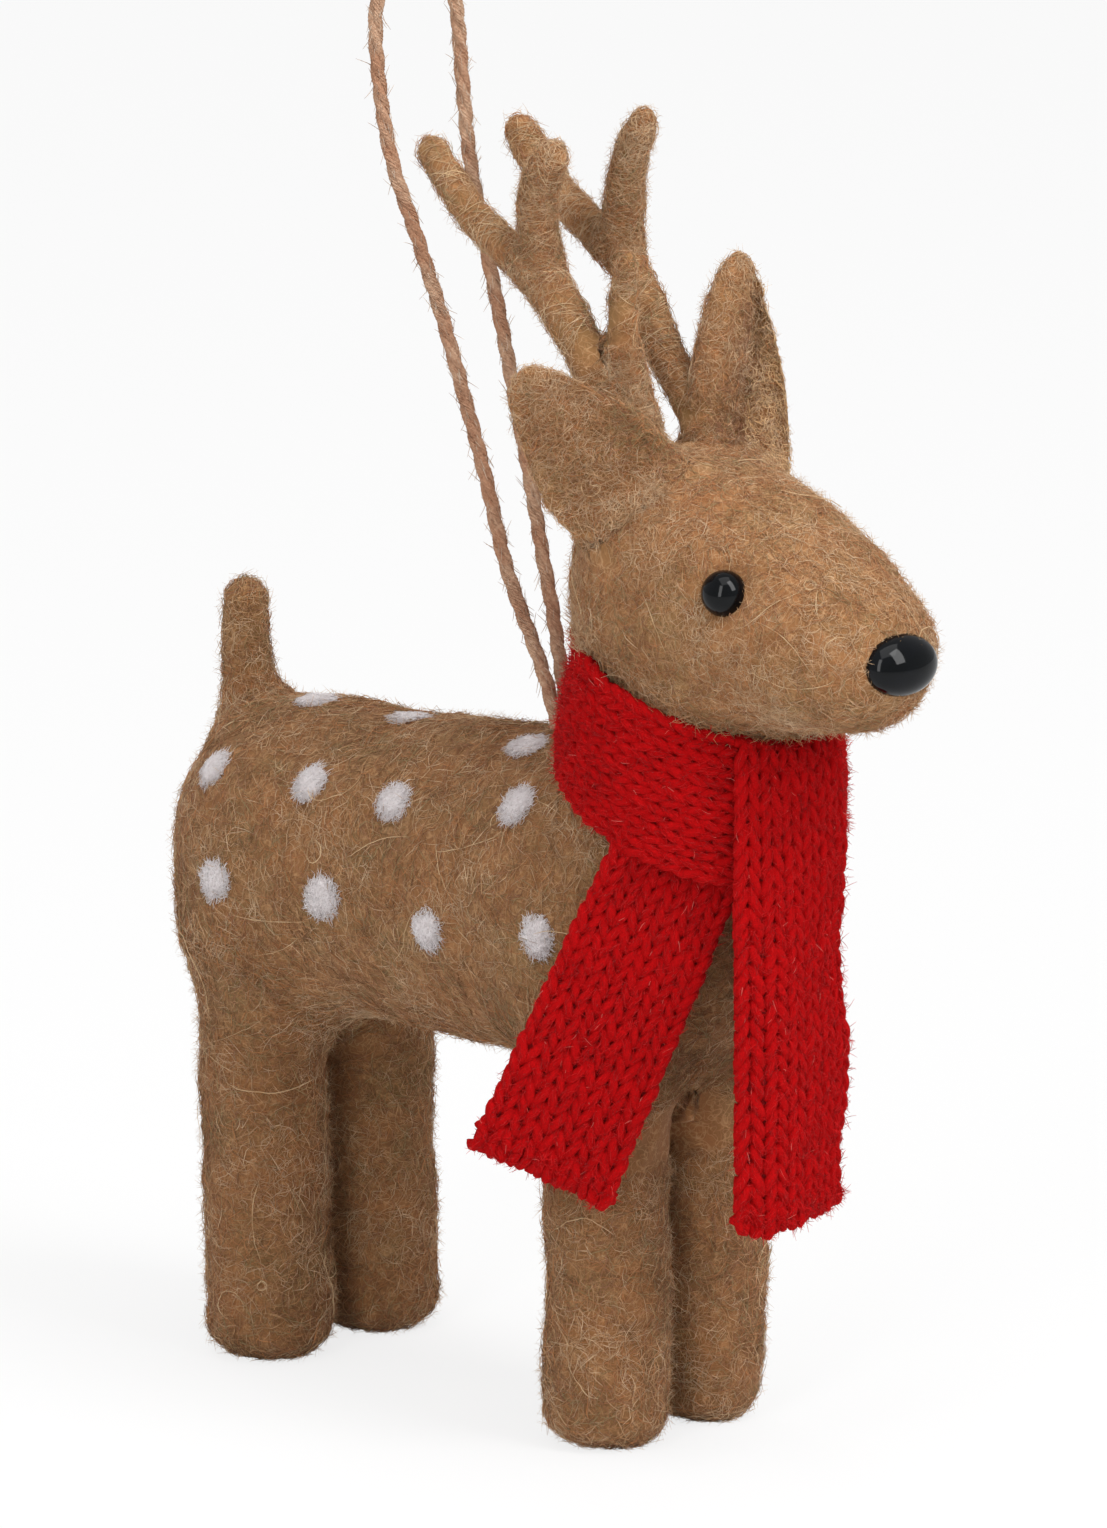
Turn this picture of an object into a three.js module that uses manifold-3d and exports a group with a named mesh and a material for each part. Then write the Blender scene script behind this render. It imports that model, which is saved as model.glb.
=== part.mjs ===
// A needle-felted reindeer with a knitted scarf, which hangs by a twine loop and stands on its four feet.
// It faces +X and its left side is +Y. Lengths are in millimetres and angles in degrees.
import * as THREE from 'three';
import { mergeVertices } from 'three/addons/utils/BufferGeometryUtils.js';
import Module from 'manifold-3d';

const wasm = await Module();
wasm.setup();

// Legs
const frontLegsBehindChest = 15; // their axes behind the body's front end
const rearLegsBehind = 25.4; // behind the drawing's own origin
const frontStandWidth = 14.2; // between the left and the right leg's axis
const rearStandWidth = 15.4;
const legRadius = 6.75;
const legTop = 6; // the legs end this far under the body's middle line
const rearLegSlant = 1.4; // a rear leg's top behind its foot
const footDome = 4.2;
const soleDepth = 0.9; // cut away under each foot, so that it stands flat

// Body and neck
const bodyLength = 81.4;
const bodyHalfWidth = 15.6;
const bodyHalfHeight = 16.3;
const bodyMiddle = 53.8; // the body's middle line above the floor
const bodyRise = 3; // the chest end of that line above its rump end
const rumpOverhang = 16.8; // the rump behind the rear legs' axes
const bodyDome = 18;
const neckRadius = 11.2;
const neckLength = 34;
const neckDome = 5;
const neckBehindChest = 8.1;
const neckRise = 20.7; // the neck's middle above the body's middle line
const neckLean = 4;

// Head
const headLength = 45.6;
const headHalfWidth = 13;
const headHalfHeight = 14;
const headBehindNeck = 14.9; // the back of the head behind the neck's middle
const headRise = 18.4; // the back of the head above the neck's middle
const headDroop = 5.1; // the muzzle's tip below the back of the head
const headDome = 13;
const muzzleDome = 6;
const eyeRadius = 2.35;
const eyeSink = 1.5; // the ball's middle below the skin
const noseBehindTip = 1; // the bead's middle behind the muzzle's tip
const noseAboveTip = 1.1;
const noseTilt = 22; // the way it looks, up from straight ahead
const noseHalfWidth = 4.35;
const noseHalfHeight = 3.2;
const noseHalfDepth = 2.8;
const shankRadius = 0.7;
const shankLength = 5.5; // from a bead's middle

// Ears and antlers
const leftEarLength = 22.4;
const rightEarLength = 20;
const leftEarHalfWidth = 6.3;
const rightEarHalfWidth = 7.3;
const earHalfDepth = 2.5;
const earRootSink = 2.5;
const earDome = 3;
const earLean = { left: 9, right: 39 }; // outwards from upright
const earBackLean = 11;
const earTurn = { left: 12, right: 42 }; // the cup's face, turned from straight ahead to the right
const antlerHeight = 33;
const beamRadius = 2.15;
const tineRadius = 2.1;
const antlerRootSink = 2.5;
const wireRadius = 0.5;
const wireDepth = 6; // each wire runs this far below the beam's end, inside the head

// Tail
const tailHeight = 14.4;
const tailRadius = 2.6;

// White wool spots
const spotHalfWidth = 2.1;
const spotHalfDepth = 0.9;
const spotSink = 0.25; // a spot's middle below the skin

// Scarf
const scarfWidth = 15.4;
const clothThickness = 1.5;
const scarfEase = 2.7; // between the neck and the wrap
const wrapHeight = 14.4; // bunched, so less than the scarf's width
const wrapRise = 1.2; // the wrap's middle above the neck's
const wrapBulgeDepth = 0.5; // the wrap's middle stands out from its rims
const wrapFlareDepth = 0.7; // its lower rim stands out more, its upper rim less
const wrapTilt = 24; // it lies lower in front than behind
const crossingWidth = 14.4;
const frontTailLength = 34;
const frontTailAside = 1.9; // to the right of straight ahead
const frontFoldDepth = 2.2;
const sideTailLength = 34;
const sideTailInsideWrap = 2.8; // the side tail's cloth, behind the wrap's outside
const sideTailAside = 2.6; // its top's middle lies this far round towards the rump
const sideTailDropHeight = 0.4; // under the wrap's lower rim
const sideTailWaveDepth = 0.5;

// Hanging loop: two-ply jute twine of one length, whose ends meet in a knot inside the back
const cordRadius = 0.83;
const cordSteps = 64;
const knotRadius = 2.2;
const cordRoute = [
  [10.9, -1.1, 73.0], [9.3, -1.3, 77.9], [7.6, -1.6, 81.9], [5.7, -1.9, 85.9], [4.1, -2.2, 90.0],
  [2.0, -2.8, 98.3], [-0.6, -3.3, 106.5], [-3.4, -3.8, 114.7], [-6.8, -4.1, 122.7], [-10.5, -4.3, 130.7],
  [-12.3, -4.4, 138.9], [-12.8, -4.3, 146.5], [-12.5, -3.2, 150.3], [-11.6, 0, 152.2], [-10.6, 3.2, 150.3],
  [-9.9, 4.3, 146.5], [-8.9, 4.4, 138.0], [-7.7, 4.35, 129.6], [-5.4, 4.25, 121.4], [-2.8, 4.0, 113.4],
  [-0.1, 3.5, 105.4], [2.6, 3.0, 97.4], [5.2, 2.4, 89.3], [6.7, 2.0, 85.4], [7.9, 1.7, 81.4],
  [10.2, 1.1, 73.0],
];

const clearance = 0.3; // between touching pieces

const colours = {
  felt: new THREE.MeshStandardMaterial({ color: 0x96714a, roughness: 0.95, metalness: 0 }),
  whiteWool: new THREE.MeshStandardMaterial({ color: 0xe4dad8, roughness: 0.95, metalness: 0 }),
  knit: new THREE.MeshStandardMaterial({ color: 0xb8141a, roughness: 0.9, metalness: 0 }),
  bead: new THREE.MeshStandardMaterial({ color: 0x0b0c10, roughness: 0.12, metalness: 0 }),
  wire: new THREE.MeshStandardMaterial({ color: 0x8c8c8c, roughness: 0.4, metalness: 1 }),
  jute: new THREE.MeshStandardMaterial({ color: 0xb0876b, roughness: 0.9, metalness: 0 }),
};

const radians = THREE.MathUtils.degToRad;
const vector = (x, y, z) => new THREE.Vector3(x, y, z);

// A size that changes smoothly along a form: evenly spaced shares of its greatest value.
function smooth(shares, size) {
  const curve = new THREE.SplineCurve(shares.map((share, i) => new THREE.Vector2(i, share * size)));
  return (place) => curve.getPoint(place).y;
}

// A felted form: oval sections strung along a smooth line, with domed ends. A place runs from 0 at
// the line's start to 1 at its end, and an angle goes round the section, from the side over the top.
class SoftForm {
  constructor({ path, halfWidth, acrossShares, halfHeight = halfWidth, upShares = acrossShares,
    startDome, endDome = startDome, sideways = vector(0, 1, 0) }) {
    this.line = new THREE.CatmullRomCurve3(path);
    this.across = smooth(acrossShares, halfWidth);
    this.up = smooth(upShares, halfHeight);
    this.startDome = startDome / this.line.getLength();
    this.endDome = endDome / this.line.getLength();
    this.sideways = sideways;
  }

  point(place, angle, grow = 0) {
    const tangent = this.line.getTangentAt(place);
    const side = this.sideways.clone().addScaledVector(tangent, -tangent.dot(this.sideways)).normalize();
    const top = vector().crossVectors(tangent, side);
    const domeDepth = Math.max(0, 1 - place / this.startDome, 1 - (1 - place) / this.endDome);
    const fullness = Math.sqrt(1 - domeDepth * domeDepth);
    return this.line.getPointAt(place)
      .addScaledVector(side, (this.across(place) + grow) * fullness * Math.cos(angle))
      .addScaledVector(top, (this.up(place) + grow) * fullness * Math.sin(angle))
      .addScaledVector(tangent, grow * domeDepth * (place < this.startDome ? -1 : 1));
  }

  outward(place, angle) {
    const step = 0.01;
    const lengthways = this.point(place + step, angle).sub(this.point(place - step, angle));
    const roundIt = this.point(place, angle + step).sub(this.point(place, angle - step));
    return roundIt.cross(lengthways).normalize();
  }

  places(domeRings, middleRings) {
    const dome = Array.from({ length: domeRings }, (_, i) => 1 - Math.cos((i / domeRings) * Math.PI / 2));
    const middle = Array.from({ length: middleRings + 1 }, (_, i) => i / middleRings);
    const full = 1 - this.startDome - this.endDome;
    return [
      ...dome.map((depth) => this.startDome * depth),
      ...middle.map((share) => this.startDome + full * share),
      ...dome.reverse().map((depth) => 1 - this.endDome * depth),
    ];
  }

  solid({ sides, domeRings, middleRings }, grow = 0) {
    const places = this.places(domeRings, middleRings);
    const last = places.length - 1;
    const points = [];
    places.forEach((place, ring) => {
      const count = ring === 0 || ring === last ? 1 : sides;
      for (let i = 0; i < count; i++) points.push(this.point(place, (i / sides) * Math.PI * 2, grow));
    });
    const at = (ring, i) => {
      if (ring === 0) return 0;
      return ring === last ? points.length - 1 : 1 + (ring - 1) * sides + (i % sides);
    };
    const triangles = [];
    for (let ring = 0; ring < last; ring++) {
      for (let i = 0; i < sides; i++) {
        const [a, b, c, d] = [at(ring, i), at(ring, i + 1), at(ring + 1, i + 1), at(ring + 1, i)];
        if (ring > 0) triangles.push(a, b, c);
        if (ring + 1 < last) triangles.push(a, c, d);
      }
    }
    return solidOf(meshOf(points, triangles));
  }
}

function meshOf(points, triangles) {
  const geometry = new THREE.BufferGeometry().setFromPoints(points);
  geometry.setIndex(triangles);
  return geometry;
}

// The closed solid of a geometry, for cutting and joining.
function solidOf(geometry) {
  geometry.deleteAttribute('normal');
  geometry.deleteAttribute('uv');
  const merged = mergeVertices(geometry);
  return new wasm.Manifold(new wasm.Mesh({
    numProp: 3,
    vertProperties: new Float32Array(merged.attributes.position.array),
    triVerts: new Uint32Array(merged.index.array),
  }));
}

function piece(name, solid, material) {
  const { vertProperties, triVerts } = solid.getMesh();
  const geometry = new THREE.BufferGeometry();
  geometry.setAttribute('position', new THREE.BufferAttribute(vertProperties, 3));
  geometry.setIndex(new THREE.BufferAttribute(triVerts, 1));
  geometry.computeVertexNormals();
  const mesh = new THREE.Mesh(geometry, material);
  mesh.name = name;
  return mesh;
}

// Turns a geometry made along +Y so that it points along a direction, and moves it to a place.
function aimed(geometry, place, direction) {
  const turn = new THREE.Quaternion().setFromUnitVectors(vector(0, 1, 0), direction);
  return geometry.applyQuaternion(turn).translate(place.x, place.y, place.z);
}

// A cloth strip: a surface over 0 to 1 across and 0 to 1 down, thickened to both sides.
function cloth(surface, columns, rows) {
  const step = 0.001;
  const normal = (u, v) => {
    const across = surface(u + step, v).sub(surface(u - step, v));
    return across.cross(surface(u, v + step).sub(surface(u, v - step))).normalize();
  };
  const points = [];
  for (const side of [0.5, -0.5]) {
    for (let row = 0; row <= rows; row++) {
      for (let column = 0; column <= columns; column++) {
        const [u, v] = [column / columns, row / rows];
        points.push(surface(u, v).addScaledVector(normal(u, v), side * clothThickness));
      }
    }
  }
  const at = (back, row, column) => (back * (rows + 1) + row) * (columns + 1) + column;
  const triangles = [];
  const quad = (a, b, c, d) => triangles.push(a, b, c, a, c, d);
  for (let row = 0; row < rows; row++) {
    for (let column = 0; column < columns; column++) {
      quad(at(0, row, column), at(0, row, column + 1), at(0, row + 1, column + 1), at(0, row + 1, column));
      quad(at(1, row, column), at(1, row + 1, column), at(1, row + 1, column + 1), at(1, row, column + 1));
    }
    quad(at(0, row, 0), at(0, row + 1, 0), at(1, row + 1, 0), at(1, row, 0));
    quad(at(0, row, columns), at(1, row, columns), at(1, row + 1, columns), at(0, row + 1, columns));
  }
  for (let column = 0; column < columns; column++) {
    quad(at(0, 0, column), at(1, 0, column), at(1, 0, column + 1), at(0, 0, column + 1));
    quad(at(0, rows, column), at(0, rows, column + 1), at(1, rows, column + 1), at(1, rows, column));
  }
  return solidOf(meshOf(points, triangles));
}

// Body, with a pocket for each white spot and a well for the cord's knot
const rump = -rearLegsBehind - rumpOverhang;
const chest = rump + bodyLength;
const bodyLineShares = [[0, -0.2], [0.33, -0.1], [0.6, 0.4], [1, 0.75]]; // of its length and of its rise
const body = new SoftForm({
  path: bodyLineShares.map(([along, up]) => vector(rump + along * bodyLength, 0, bodyMiddle + up * bodyRise)),
  halfWidth: bodyHalfWidth,
  acrossShares: [0.97, 1, 0.97, 1, 0.94],
  halfHeight: bodyHalfHeight,
  upShares: [1, 0.985, 1.03, 1.07, 1.02],
  startDome: bodyDome,
});
const bodyRings = { sides: 24, domeRings: 5, middleRings: 5 };

const spotRows = {
  spine: { angles: [93, 92, 107], placeShares: [0.207, 0.386, 0.646] },
  upper_right: { angles: [140, 139, 142, 136], placeShares: [0.146, 0.336, 0.494, 0.708] },
  lower_right: { angles: [183, 181, 187, 181], placeShares: [0.202, 0.399, 0.589, 0.792] },
  upper_left: { angles: [40, 41, 38, 44], placeShares: [0.146, 0.336, 0.494, 0.708] },
  lower_left: { angles: [-3, -1, -7, -1], placeShares: [0.202, 0.399, 0.589, 0.792] },
};

function spotSolid(place, angle, grow = 0) {
  const halfWidth = spotHalfWidth + grow;
  const ball = new THREE.SphereGeometry(1, 8, 4).scale(halfWidth, spotHalfDepth + grow, halfWidth);
  const outward = body.outward(place, angle);
  return solidOf(aimed(ball, body.point(place, angle).addScaledVector(outward, -spotSink), outward));
}

const spots = Object.entries(spotRows).flatMap(([row, { angles, placeShares }]) =>
  placeShares.map((place, i) => ({ name: `spot_${row}_${i + 1}`, place, angle: radians(angles[i]) })));

const cordExitShare = 0.648;
const cordExit = body.point(cordExitShare, radians(90));

function knotSolid(grow = 0) {
  const ball = new THREE.SphereGeometry(knotRadius + grow, 10, 6);
  return solidOf(ball.translate(cordExit.x, cordExit.y, cordExit.z - knotRadius));
}

function torsoPiece() {
  let solid = body.solid(bodyRings).subtract(knotSolid(clearance));
  for (const { place, angle } of spots) solid = solid.subtract(spotSolid(place, angle, clearance));
  return piece('torso', solid, colours.felt);
}

const bodyCutter = body.solid(bodyRings, clearance);

// Legs
const plainLeg = { acrossShares: [1, 0.98, 0.97, 0.98, 1], upShares: [1.02, 0.99, 0.98, 1.02, 1.12] };
const slimFootLeg = { acrossShares: [0.78, 0.95, 1.03, 1, 1], upShares: [0.9, 0.95, 0.98, 1.02, 1.12] };

function legPiece(name, x, y, slant, shares) {
  const leg = new SoftForm({
    path: [vector(x, y, -soleDepth), vector(x - slant, y, bodyMiddle - legTop)],
    halfWidth: legRadius,
    ...shares,
    startDome: footDome,
  });
  const floorWidth = legRadius * 4;
  const floorBlock = new THREE.BoxGeometry(floorWidth, floorWidth, footDome).translate(x, y, -footDome / 2);
  const solid = leg.solid({ sides: 16, domeRings: 3, middleRings: 5 })
    .subtract(solidOf(floorBlock))
    .subtract(bodyCutter);
  return piece(name, solid, colours.felt);
}

function legPieces() {
  return [['right', -0.5], ['left', 0.5]].flatMap(([side, share]) => [
    legPiece(`leg_front_${side}`, chest - frontLegsBehindChest, share * frontStandWidth, 0,
      side === 'left' ? slimFootLeg : plainLeg),
    legPiece(`leg_rear_${side}`, -rearLegsBehind, share * rearStandWidth, rearLegSlant, plainLeg),
  ]);
}

// Neck and head. The neck also carries the scarf.
const neckMiddle = vector(chest - neckBehindChest, 0, bodyMiddle + neckRise);
const neckUp = vector(Math.sin(radians(neckLean)), 0, Math.cos(radians(neckLean)));

const headLineShares = [[0, 0], [0.3, 0.08], [0.62, 0.48], [1, 1]]; // of its length and of its droop
const head = new SoftForm({
  path: headLineShares.map(([along, down]) => vector(
    neckMiddle.x - headBehindNeck + along * headLength,
    0,
    neckMiddle.z + headRise - down * headDroop,
  )),
  halfWidth: headHalfWidth,
  acrossShares: [0.86, 0.99, 1, 0.83, 0.56],
  halfHeight: headHalfHeight,
  upShares: [0.84, 0.98, 0.95, 0.71, 0.46],
  startDome: headDome,
  endDome: muzzleDome,
});
const headRings = { sides: 24, domeRings: 4, middleRings: 6 };
const headCutter = head.solid(headRings, clearance);

function neckPiece() {
  const neck = new SoftForm({
    path: [-0.5, 0.5].map((share) => neckMiddle.clone().addScaledVector(neckUp, share * neckLength)),
    halfWidth: neckRadius,
    acrossShares: [1, 1],
    startDome: neckDome,
  });
  const solid = neck.solid({ sides: 20, domeRings: 2, middleRings: 3 })
    .subtract(bodyCutter)
    .subtract(headCutter);
  return piece('neck', solid, colours.felt);
}

// Eyes and nose: glossy beads on shanks, seated in the head
const eyePlace = { share: 0.61, angles: { right: 154, left: 20 } };

// A ball and its shank, which both look along a direction.
function beadSolid(place, direction, [halfWidth, halfDepth, halfHeight], grow) {
  const ball = new THREE.SphereGeometry(1, 16, 10)
    .scale(halfHeight + grow, halfDepth + grow, halfWidth + grow);
  const shank = new THREE.CylinderGeometry(shankRadius + grow, shankRadius + grow, shankLength + grow, 8);
  shank.translate(0, -(shankLength + grow) / 2, 0);
  return solidOf(aimed(ball, place, direction)).add(solidOf(aimed(shank, place, direction)));
}

function eyeSolid(side, grow = 0) {
  const angle = radians(eyePlace.angles[side]);
  const outward = head.outward(eyePlace.share, angle);
  const middle = head.point(eyePlace.share, angle).addScaledVector(outward, -eyeSink);
  return beadSolid(middle, outward, [eyeRadius, eyeRadius, eyeRadius], grow);
}

function noseSolid(grow = 0) {
  const middle = head.line.getPointAt(1).add(vector(-noseBehindTip, 0, noseAboveTip));
  const outward = vector(Math.cos(radians(noseTilt)), 0, Math.sin(radians(noseTilt)));
  return beadSolid(middle, outward, [noseHalfWidth, noseHalfDepth, noseHalfHeight], grow);
}

// Antlers: each a beam swept back and an upper tine. The right one has a brow tine too.
// Their points are shares of the antler's height, ahead of, out from and above its root.
const antlerRoot = { share: 0.235, angle: 70 };
const beamEndShares = [[-0.73, 0.064, 0.682], [-0.845, 0.067, 0.788], [-0.936, 0.067, 0.9]];
const beamShares = {
  right: [[0, 0, 0], [-0.245, 0.04, 0.318], [-0.41, 0.058, 0.52], [-0.548, 0.061, 0.582], ...beamEndShares],
  left: [[0, 0, 0], [-0.272, 0.04, 0.318], [-0.437, 0.058, 0.52], [-0.558, 0.061, 0.582], ...beamEndShares],
};
const upperTineShares = {
  right: [[-0.415, 0.058, 0.527], [-0.424, 0.067, 0.724], [-0.402, 0.07, 0.85], [-0.33, 0.076, 0.985]],
  left: [[-0.442, 0.058, 0.527], [-0.438, 0.062, 0.724], [-0.406, 0.06, 0.873], [-0.325, 0.06, 1.024]],
};
const browTineShares = [
  [-0.045, 0, 0.03], [-0.078, 0, 0.17], [-0.113, 0.006, 0.442], [-0.073, 0.018, 0.676],
];
const stoutBeamShares = [1.25, 1.28, 1.22, 1.02, 0.93, 0.85];
const bluntLimbShares = [1.05, 1.02, 1, 0.97, 0.92, 0.85];
const pointedLimbShares = [1.05, 1.02, 0.97, 0.87, 0.72, 0.54];
const antlerRings = { sides: 10, domeRings: 2, middleRings: 8 };
const wireRings = { sides: 6, domeRings: 1, middleRings: 10 };
const wirePointShares = [0, 0.15, 0.3, 0.45, 0.6, 0.75, 0.9]; // of the beam's line

class Antler {
  constructor(side) {
    this.side = side;
    this.mirror = side === 'left' ? 1 : -1;
    const angle = radians(side === 'left' ? antlerRoot.angle : 180 - antlerRoot.angle);
    this.root = head.point(antlerRoot.share, angle);
    this.inward = head.outward(antlerRoot.share, angle).negate();
    const start = this.root.clone().addScaledVector(this.inward, antlerRootSink);
    const [lowerShares, upperShares] = side === 'right'
      ? [stoutBeamShares, bluntLimbShares] : [bluntLimbShares, pointedLimbShares];
    this.beam = this.limb([start, ...this.placed(beamShares[side])], beamRadius, lowerShares);
    this.tines = { upper_tine: this.limb(this.placed(upperTineShares[side]), tineRadius, upperShares) };
    if (side === 'right') {
      this.tines.brow_tine = this.limb(this.placed(browTineShares), tineRadius, pointedLimbShares);
    }
  }

  placed(shares) {
    return shares.map(([ahead, out, up]) => vector(ahead, out * this.mirror, up)
      .multiplyScalar(antlerHeight).add(this.root));
  }

  limb(path, radius, acrossShares) {
    return new SoftForm({ path, halfWidth: radius, acrossShares, startDome: radius });
  }

  wireForm(grow = 0) {
    const start = this.beam.line.getPointAt(0).addScaledVector(this.inward, wireDepth + grow);
    const path = [start, ...wirePointShares.map((share) => this.beam.line.getPointAt(share))];
    const radius = wireRadius + grow;
    const wire = new SoftForm({ path, halfWidth: radius, acrossShares: [1, 1], startDome: radius });
    return wire.solid(wireRings);
  }

  cutters() {
    return [this.beam, ...Object.values(this.tines)].map((limb) => limb.solid(antlerRings, clearance));
  }

  pieces() {
    const beamCutter = this.beam.solid(antlerRings, clearance);
    const beam = this.beam.solid(antlerRings).subtract(headCutter).subtract(this.wireForm(clearance));
    const tines = Object.entries(this.tines).map(([name, tine]) => {
      const solid = tine.solid(antlerRings).subtract(beamCutter).subtract(headCutter);
      return piece(`antler_${name}_${this.side}`, solid, colours.felt);
    });
    return [
      piece(`antler_beam_${this.side}`, beam, colours.felt),
      ...tines,
      piece(`antler_wire_${this.side}`, this.wireForm(), colours.wire),
    ];
  }
}
const antlers = ['right', 'left'].map((side) => new Antler(side));

function headPiece() {
  let solid = head.solid(headRings).subtract(noseSolid(clearance));
  for (const side of ['right', 'left']) solid = solid.subtract(eyeSolid(side, clearance));
  for (const antler of antlers) solid = solid.subtract(antler.wireForm(clearance));
  return piece('head', solid, colours.felt);
}

// Ears: felt leaves, hollowed in front
const earPlace = { share: 0.27, angle: 44 };
const earRings = { sides: 14, domeRings: 2, middleRings: 6 };
const leafLineShares = [0, 0.35, 0.7, 1];
const cupLineShares = [0.12, 0.35, 0.7, 0.9];
const cupForwardShare = 0.85; // of the leaf's half depth
const leafAcrossShares = [0.9, 0.96, 0.93, 0.76, 0.47, 0.18];
const leafUpShares = [1.1, 1.05, 0.95, 0.8, 0.62, 0.42];
const cupAcrossShares = [0.62, 0.68, 0.66, 0.5, 0.26, 0.08];
const cupUpShares = [1.1, 1.05, 0.95, 0.8, 0.6, 0.4];

function earPiece(side) {
  const mirror = side === 'left' ? 1 : -1;
  const angle = radians(side === 'left' ? earPlace.angle : 180 - earPlace.angle);
  const outward = head.outward(earPlace.share, angle);
  const root = head.point(earPlace.share, angle).addScaledVector(outward, -earRootSink);
  const outLean = mirror * Math.tan(radians(earLean[side]));
  const axis = vector(-Math.tan(radians(earBackLean)), outLean, 1).normalize();
  const facing = vector(Math.cos(radians(earTurn[side])), -Math.sin(radians(earTurn[side])), 0);
  const sideways = vector().crossVectors(facing, axis).normalize();
  const cupward = vector().crossVectors(axis, sideways);
  const length = (side === 'left' ? leftEarLength : rightEarLength) + earRootSink;
  const path = (lineShares, forward) => lineShares.map((share) => root.clone()
    .addScaledVector(axis, share * length)
    .addScaledVector(cupward, forward));
  const leafForm = (linePath, acrossShares, upShares) => new SoftForm({
    path: linePath,
    halfWidth: side === 'left' ? leftEarHalfWidth : rightEarHalfWidth,
    acrossShares,
    halfHeight: earHalfDepth,
    upShares,
    startDome: earDome,
    sideways,
  }).solid(earRings);
  const leaf = leafForm(path(leafLineShares, 0), leafAcrossShares, leafUpShares);
  const cup = leafForm(path(cupLineShares, cupForwardShare * earHalfDepth), cupAcrossShares, cupUpShares);
  let solid = leaf.subtract(cup).subtract(headCutter);
  for (const antler of antlers) {
    for (const cutter of antler.cutters()) solid = solid.subtract(cutter);
  }
  return piece(`ear_${side}`, solid, colours.felt);
}

// Tail
const tailPlaceShare = 0.09;
const tailLineShares = [[0.2, -0.33], [-0.06, 0], [-0.15, 0.5], [-0.14, 1]]; // of its height

function tailPiece() {
  const root = body.point(tailPlaceShare, radians(90));
  const path = tailLineShares.map(([ahead, up]) =>
    vector(root.x + ahead * tailHeight, 0, root.z + up * tailHeight));
  const tail = new SoftForm({
    path,
    halfWidth: tailRadius,
    acrossShares: [1.7, 1.4, 1.12, 1, 1, 0.92],
    startDome: tailRadius,
  });
  const solid = tail.solid({ sides: 14, domeRings: 3, middleRings: 6 }).subtract(bodyCutter);
  return piece('tail', solid, colours.felt);
}

// Scarf: a wrap round the neck with one end crossed over its front, and two hanging tails
const wrapRadius = neckRadius + scarfEase + clothThickness; // outside
const wrapAhead = vector(Math.cos(radians(wrapTilt)), 0, -Math.sin(radians(wrapTilt)));
const crossingTurn = -3; // the crossing's middle, turned from straight ahead to the left

// A point on the wrap: a turn round the neck, a height share from -0.5 to 0.5, and a radius.
function wrapPoint(turn, heightShare, radius) {
  const shaped = radius - wrapBulgeDepth * (2 * heightShare) ** 2 - wrapFlareDepth * 2 * heightShare;
  return neckMiddle.clone()
    .addScaledVector(wrapAhead, shaped * Math.cos(turn))
    .addScaledVector(vector(0, 1, 0), shaped * Math.sin(turn))
    .addScaledVector(neckUp, wrapRise + heightShare * wrapHeight);
}

function wrapRing() {
  const turns = 32;
  const heightShares = [-0.5, -0.3, 0, 0.3, 0.5];
  const section = [
    ...heightShares.map((height) => [height, wrapRadius]),
    ...heightShares.toReversed().map((height) => [height, wrapRadius - clothThickness]),
  ];
  const points = [];
  for (let i = 0; i < turns; i++) {
    for (const [height, radius] of section) points.push(wrapPoint((i / turns) * Math.PI * 2, height, radius));
  }
  const at = (i, j) => (i % turns) * section.length + (j % section.length);
  const triangles = [];
  for (let i = 0; i < turns; i++) {
    for (let j = 0; j < section.length; j++) {
      const [a, b, c, d] = [at(i, j), at(i + 1, j), at(i + 1, j + 1), at(i, j + 1)];
      triangles.push(a, b, c, a, c, d);
    }
  }
  return solidOf(meshOf(points, triangles));
}

// The crossing lies on the wrap and ends at its lower rim. It shares part of its thickness with the wrap.
const crossingSinkShare = 0.25;

function crossingPoint(u, v) {
  const turn = radians(crossingTurn) + (u - 0.5) * (crossingWidth / wrapRadius);
  return wrapPoint(turn, 0.5 - v, wrapRadius + clothThickness * crossingSinkShare);
}

function wrapPiece() {
  const solid = wrapRing().add(cloth(crossingPoint, 6, 5)).subtract(bodyCutter).subtract(headCutter);
  return piece('scarf_wrap', solid, colours.knit);
}

// The front tail hangs from the crossing's lower end, folded lengthwise near its right edge.
const frontFoldShare = 0.35;
const frontEaseShare = 0.4; // the share of its length in which it leaves the wrap's curve

function frontTailPoint(u, v) {
  const top = crossingPoint(u, 1);
  const middleTop = crossingPoint(0.5, 1);
  const ridge = u < frontFoldShare
    ? Math.sin((u / frontFoldShare) * Math.PI / 2)
    : Math.cos(((u - frontFoldShare) / (1 - frontFoldShare)) * Math.PI / 2);
  const eased = THREE.MathUtils.smoothstep(v, -frontEaseShare, frontEaseShare);
  return vector(
    THREE.MathUtils.lerp(top.x, middleTop.x + ridge * frontFoldDepth, eased),
    THREE.MathUtils.lerp(top.y, (u - 0.5) * scarfWidth - frontTailAside, eased),
    THREE.MathUtils.lerp(top.z - clearance - clothThickness / 2, middleTop.z - frontTailLength, v),
  );
}

function frontTailPiece() {
  return piece('scarf_front_tail', cloth(frontTailPoint, 8, 10), colours.knit);
}

// The side tail comes out under the wrap, slants back over the shoulder and lies towards the leg.
const sideTailTurn = -45.5; // the way its outer face looks, turned from straight ahead to the left
const sideTailSlant = 22.6;
const sideTailInward = 3.4;
const sideTailWaves = 0.75; // along its length
const sideTailWidthShares = { top: 0.9, end: 1.08 }; // of the scarf's width

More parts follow.
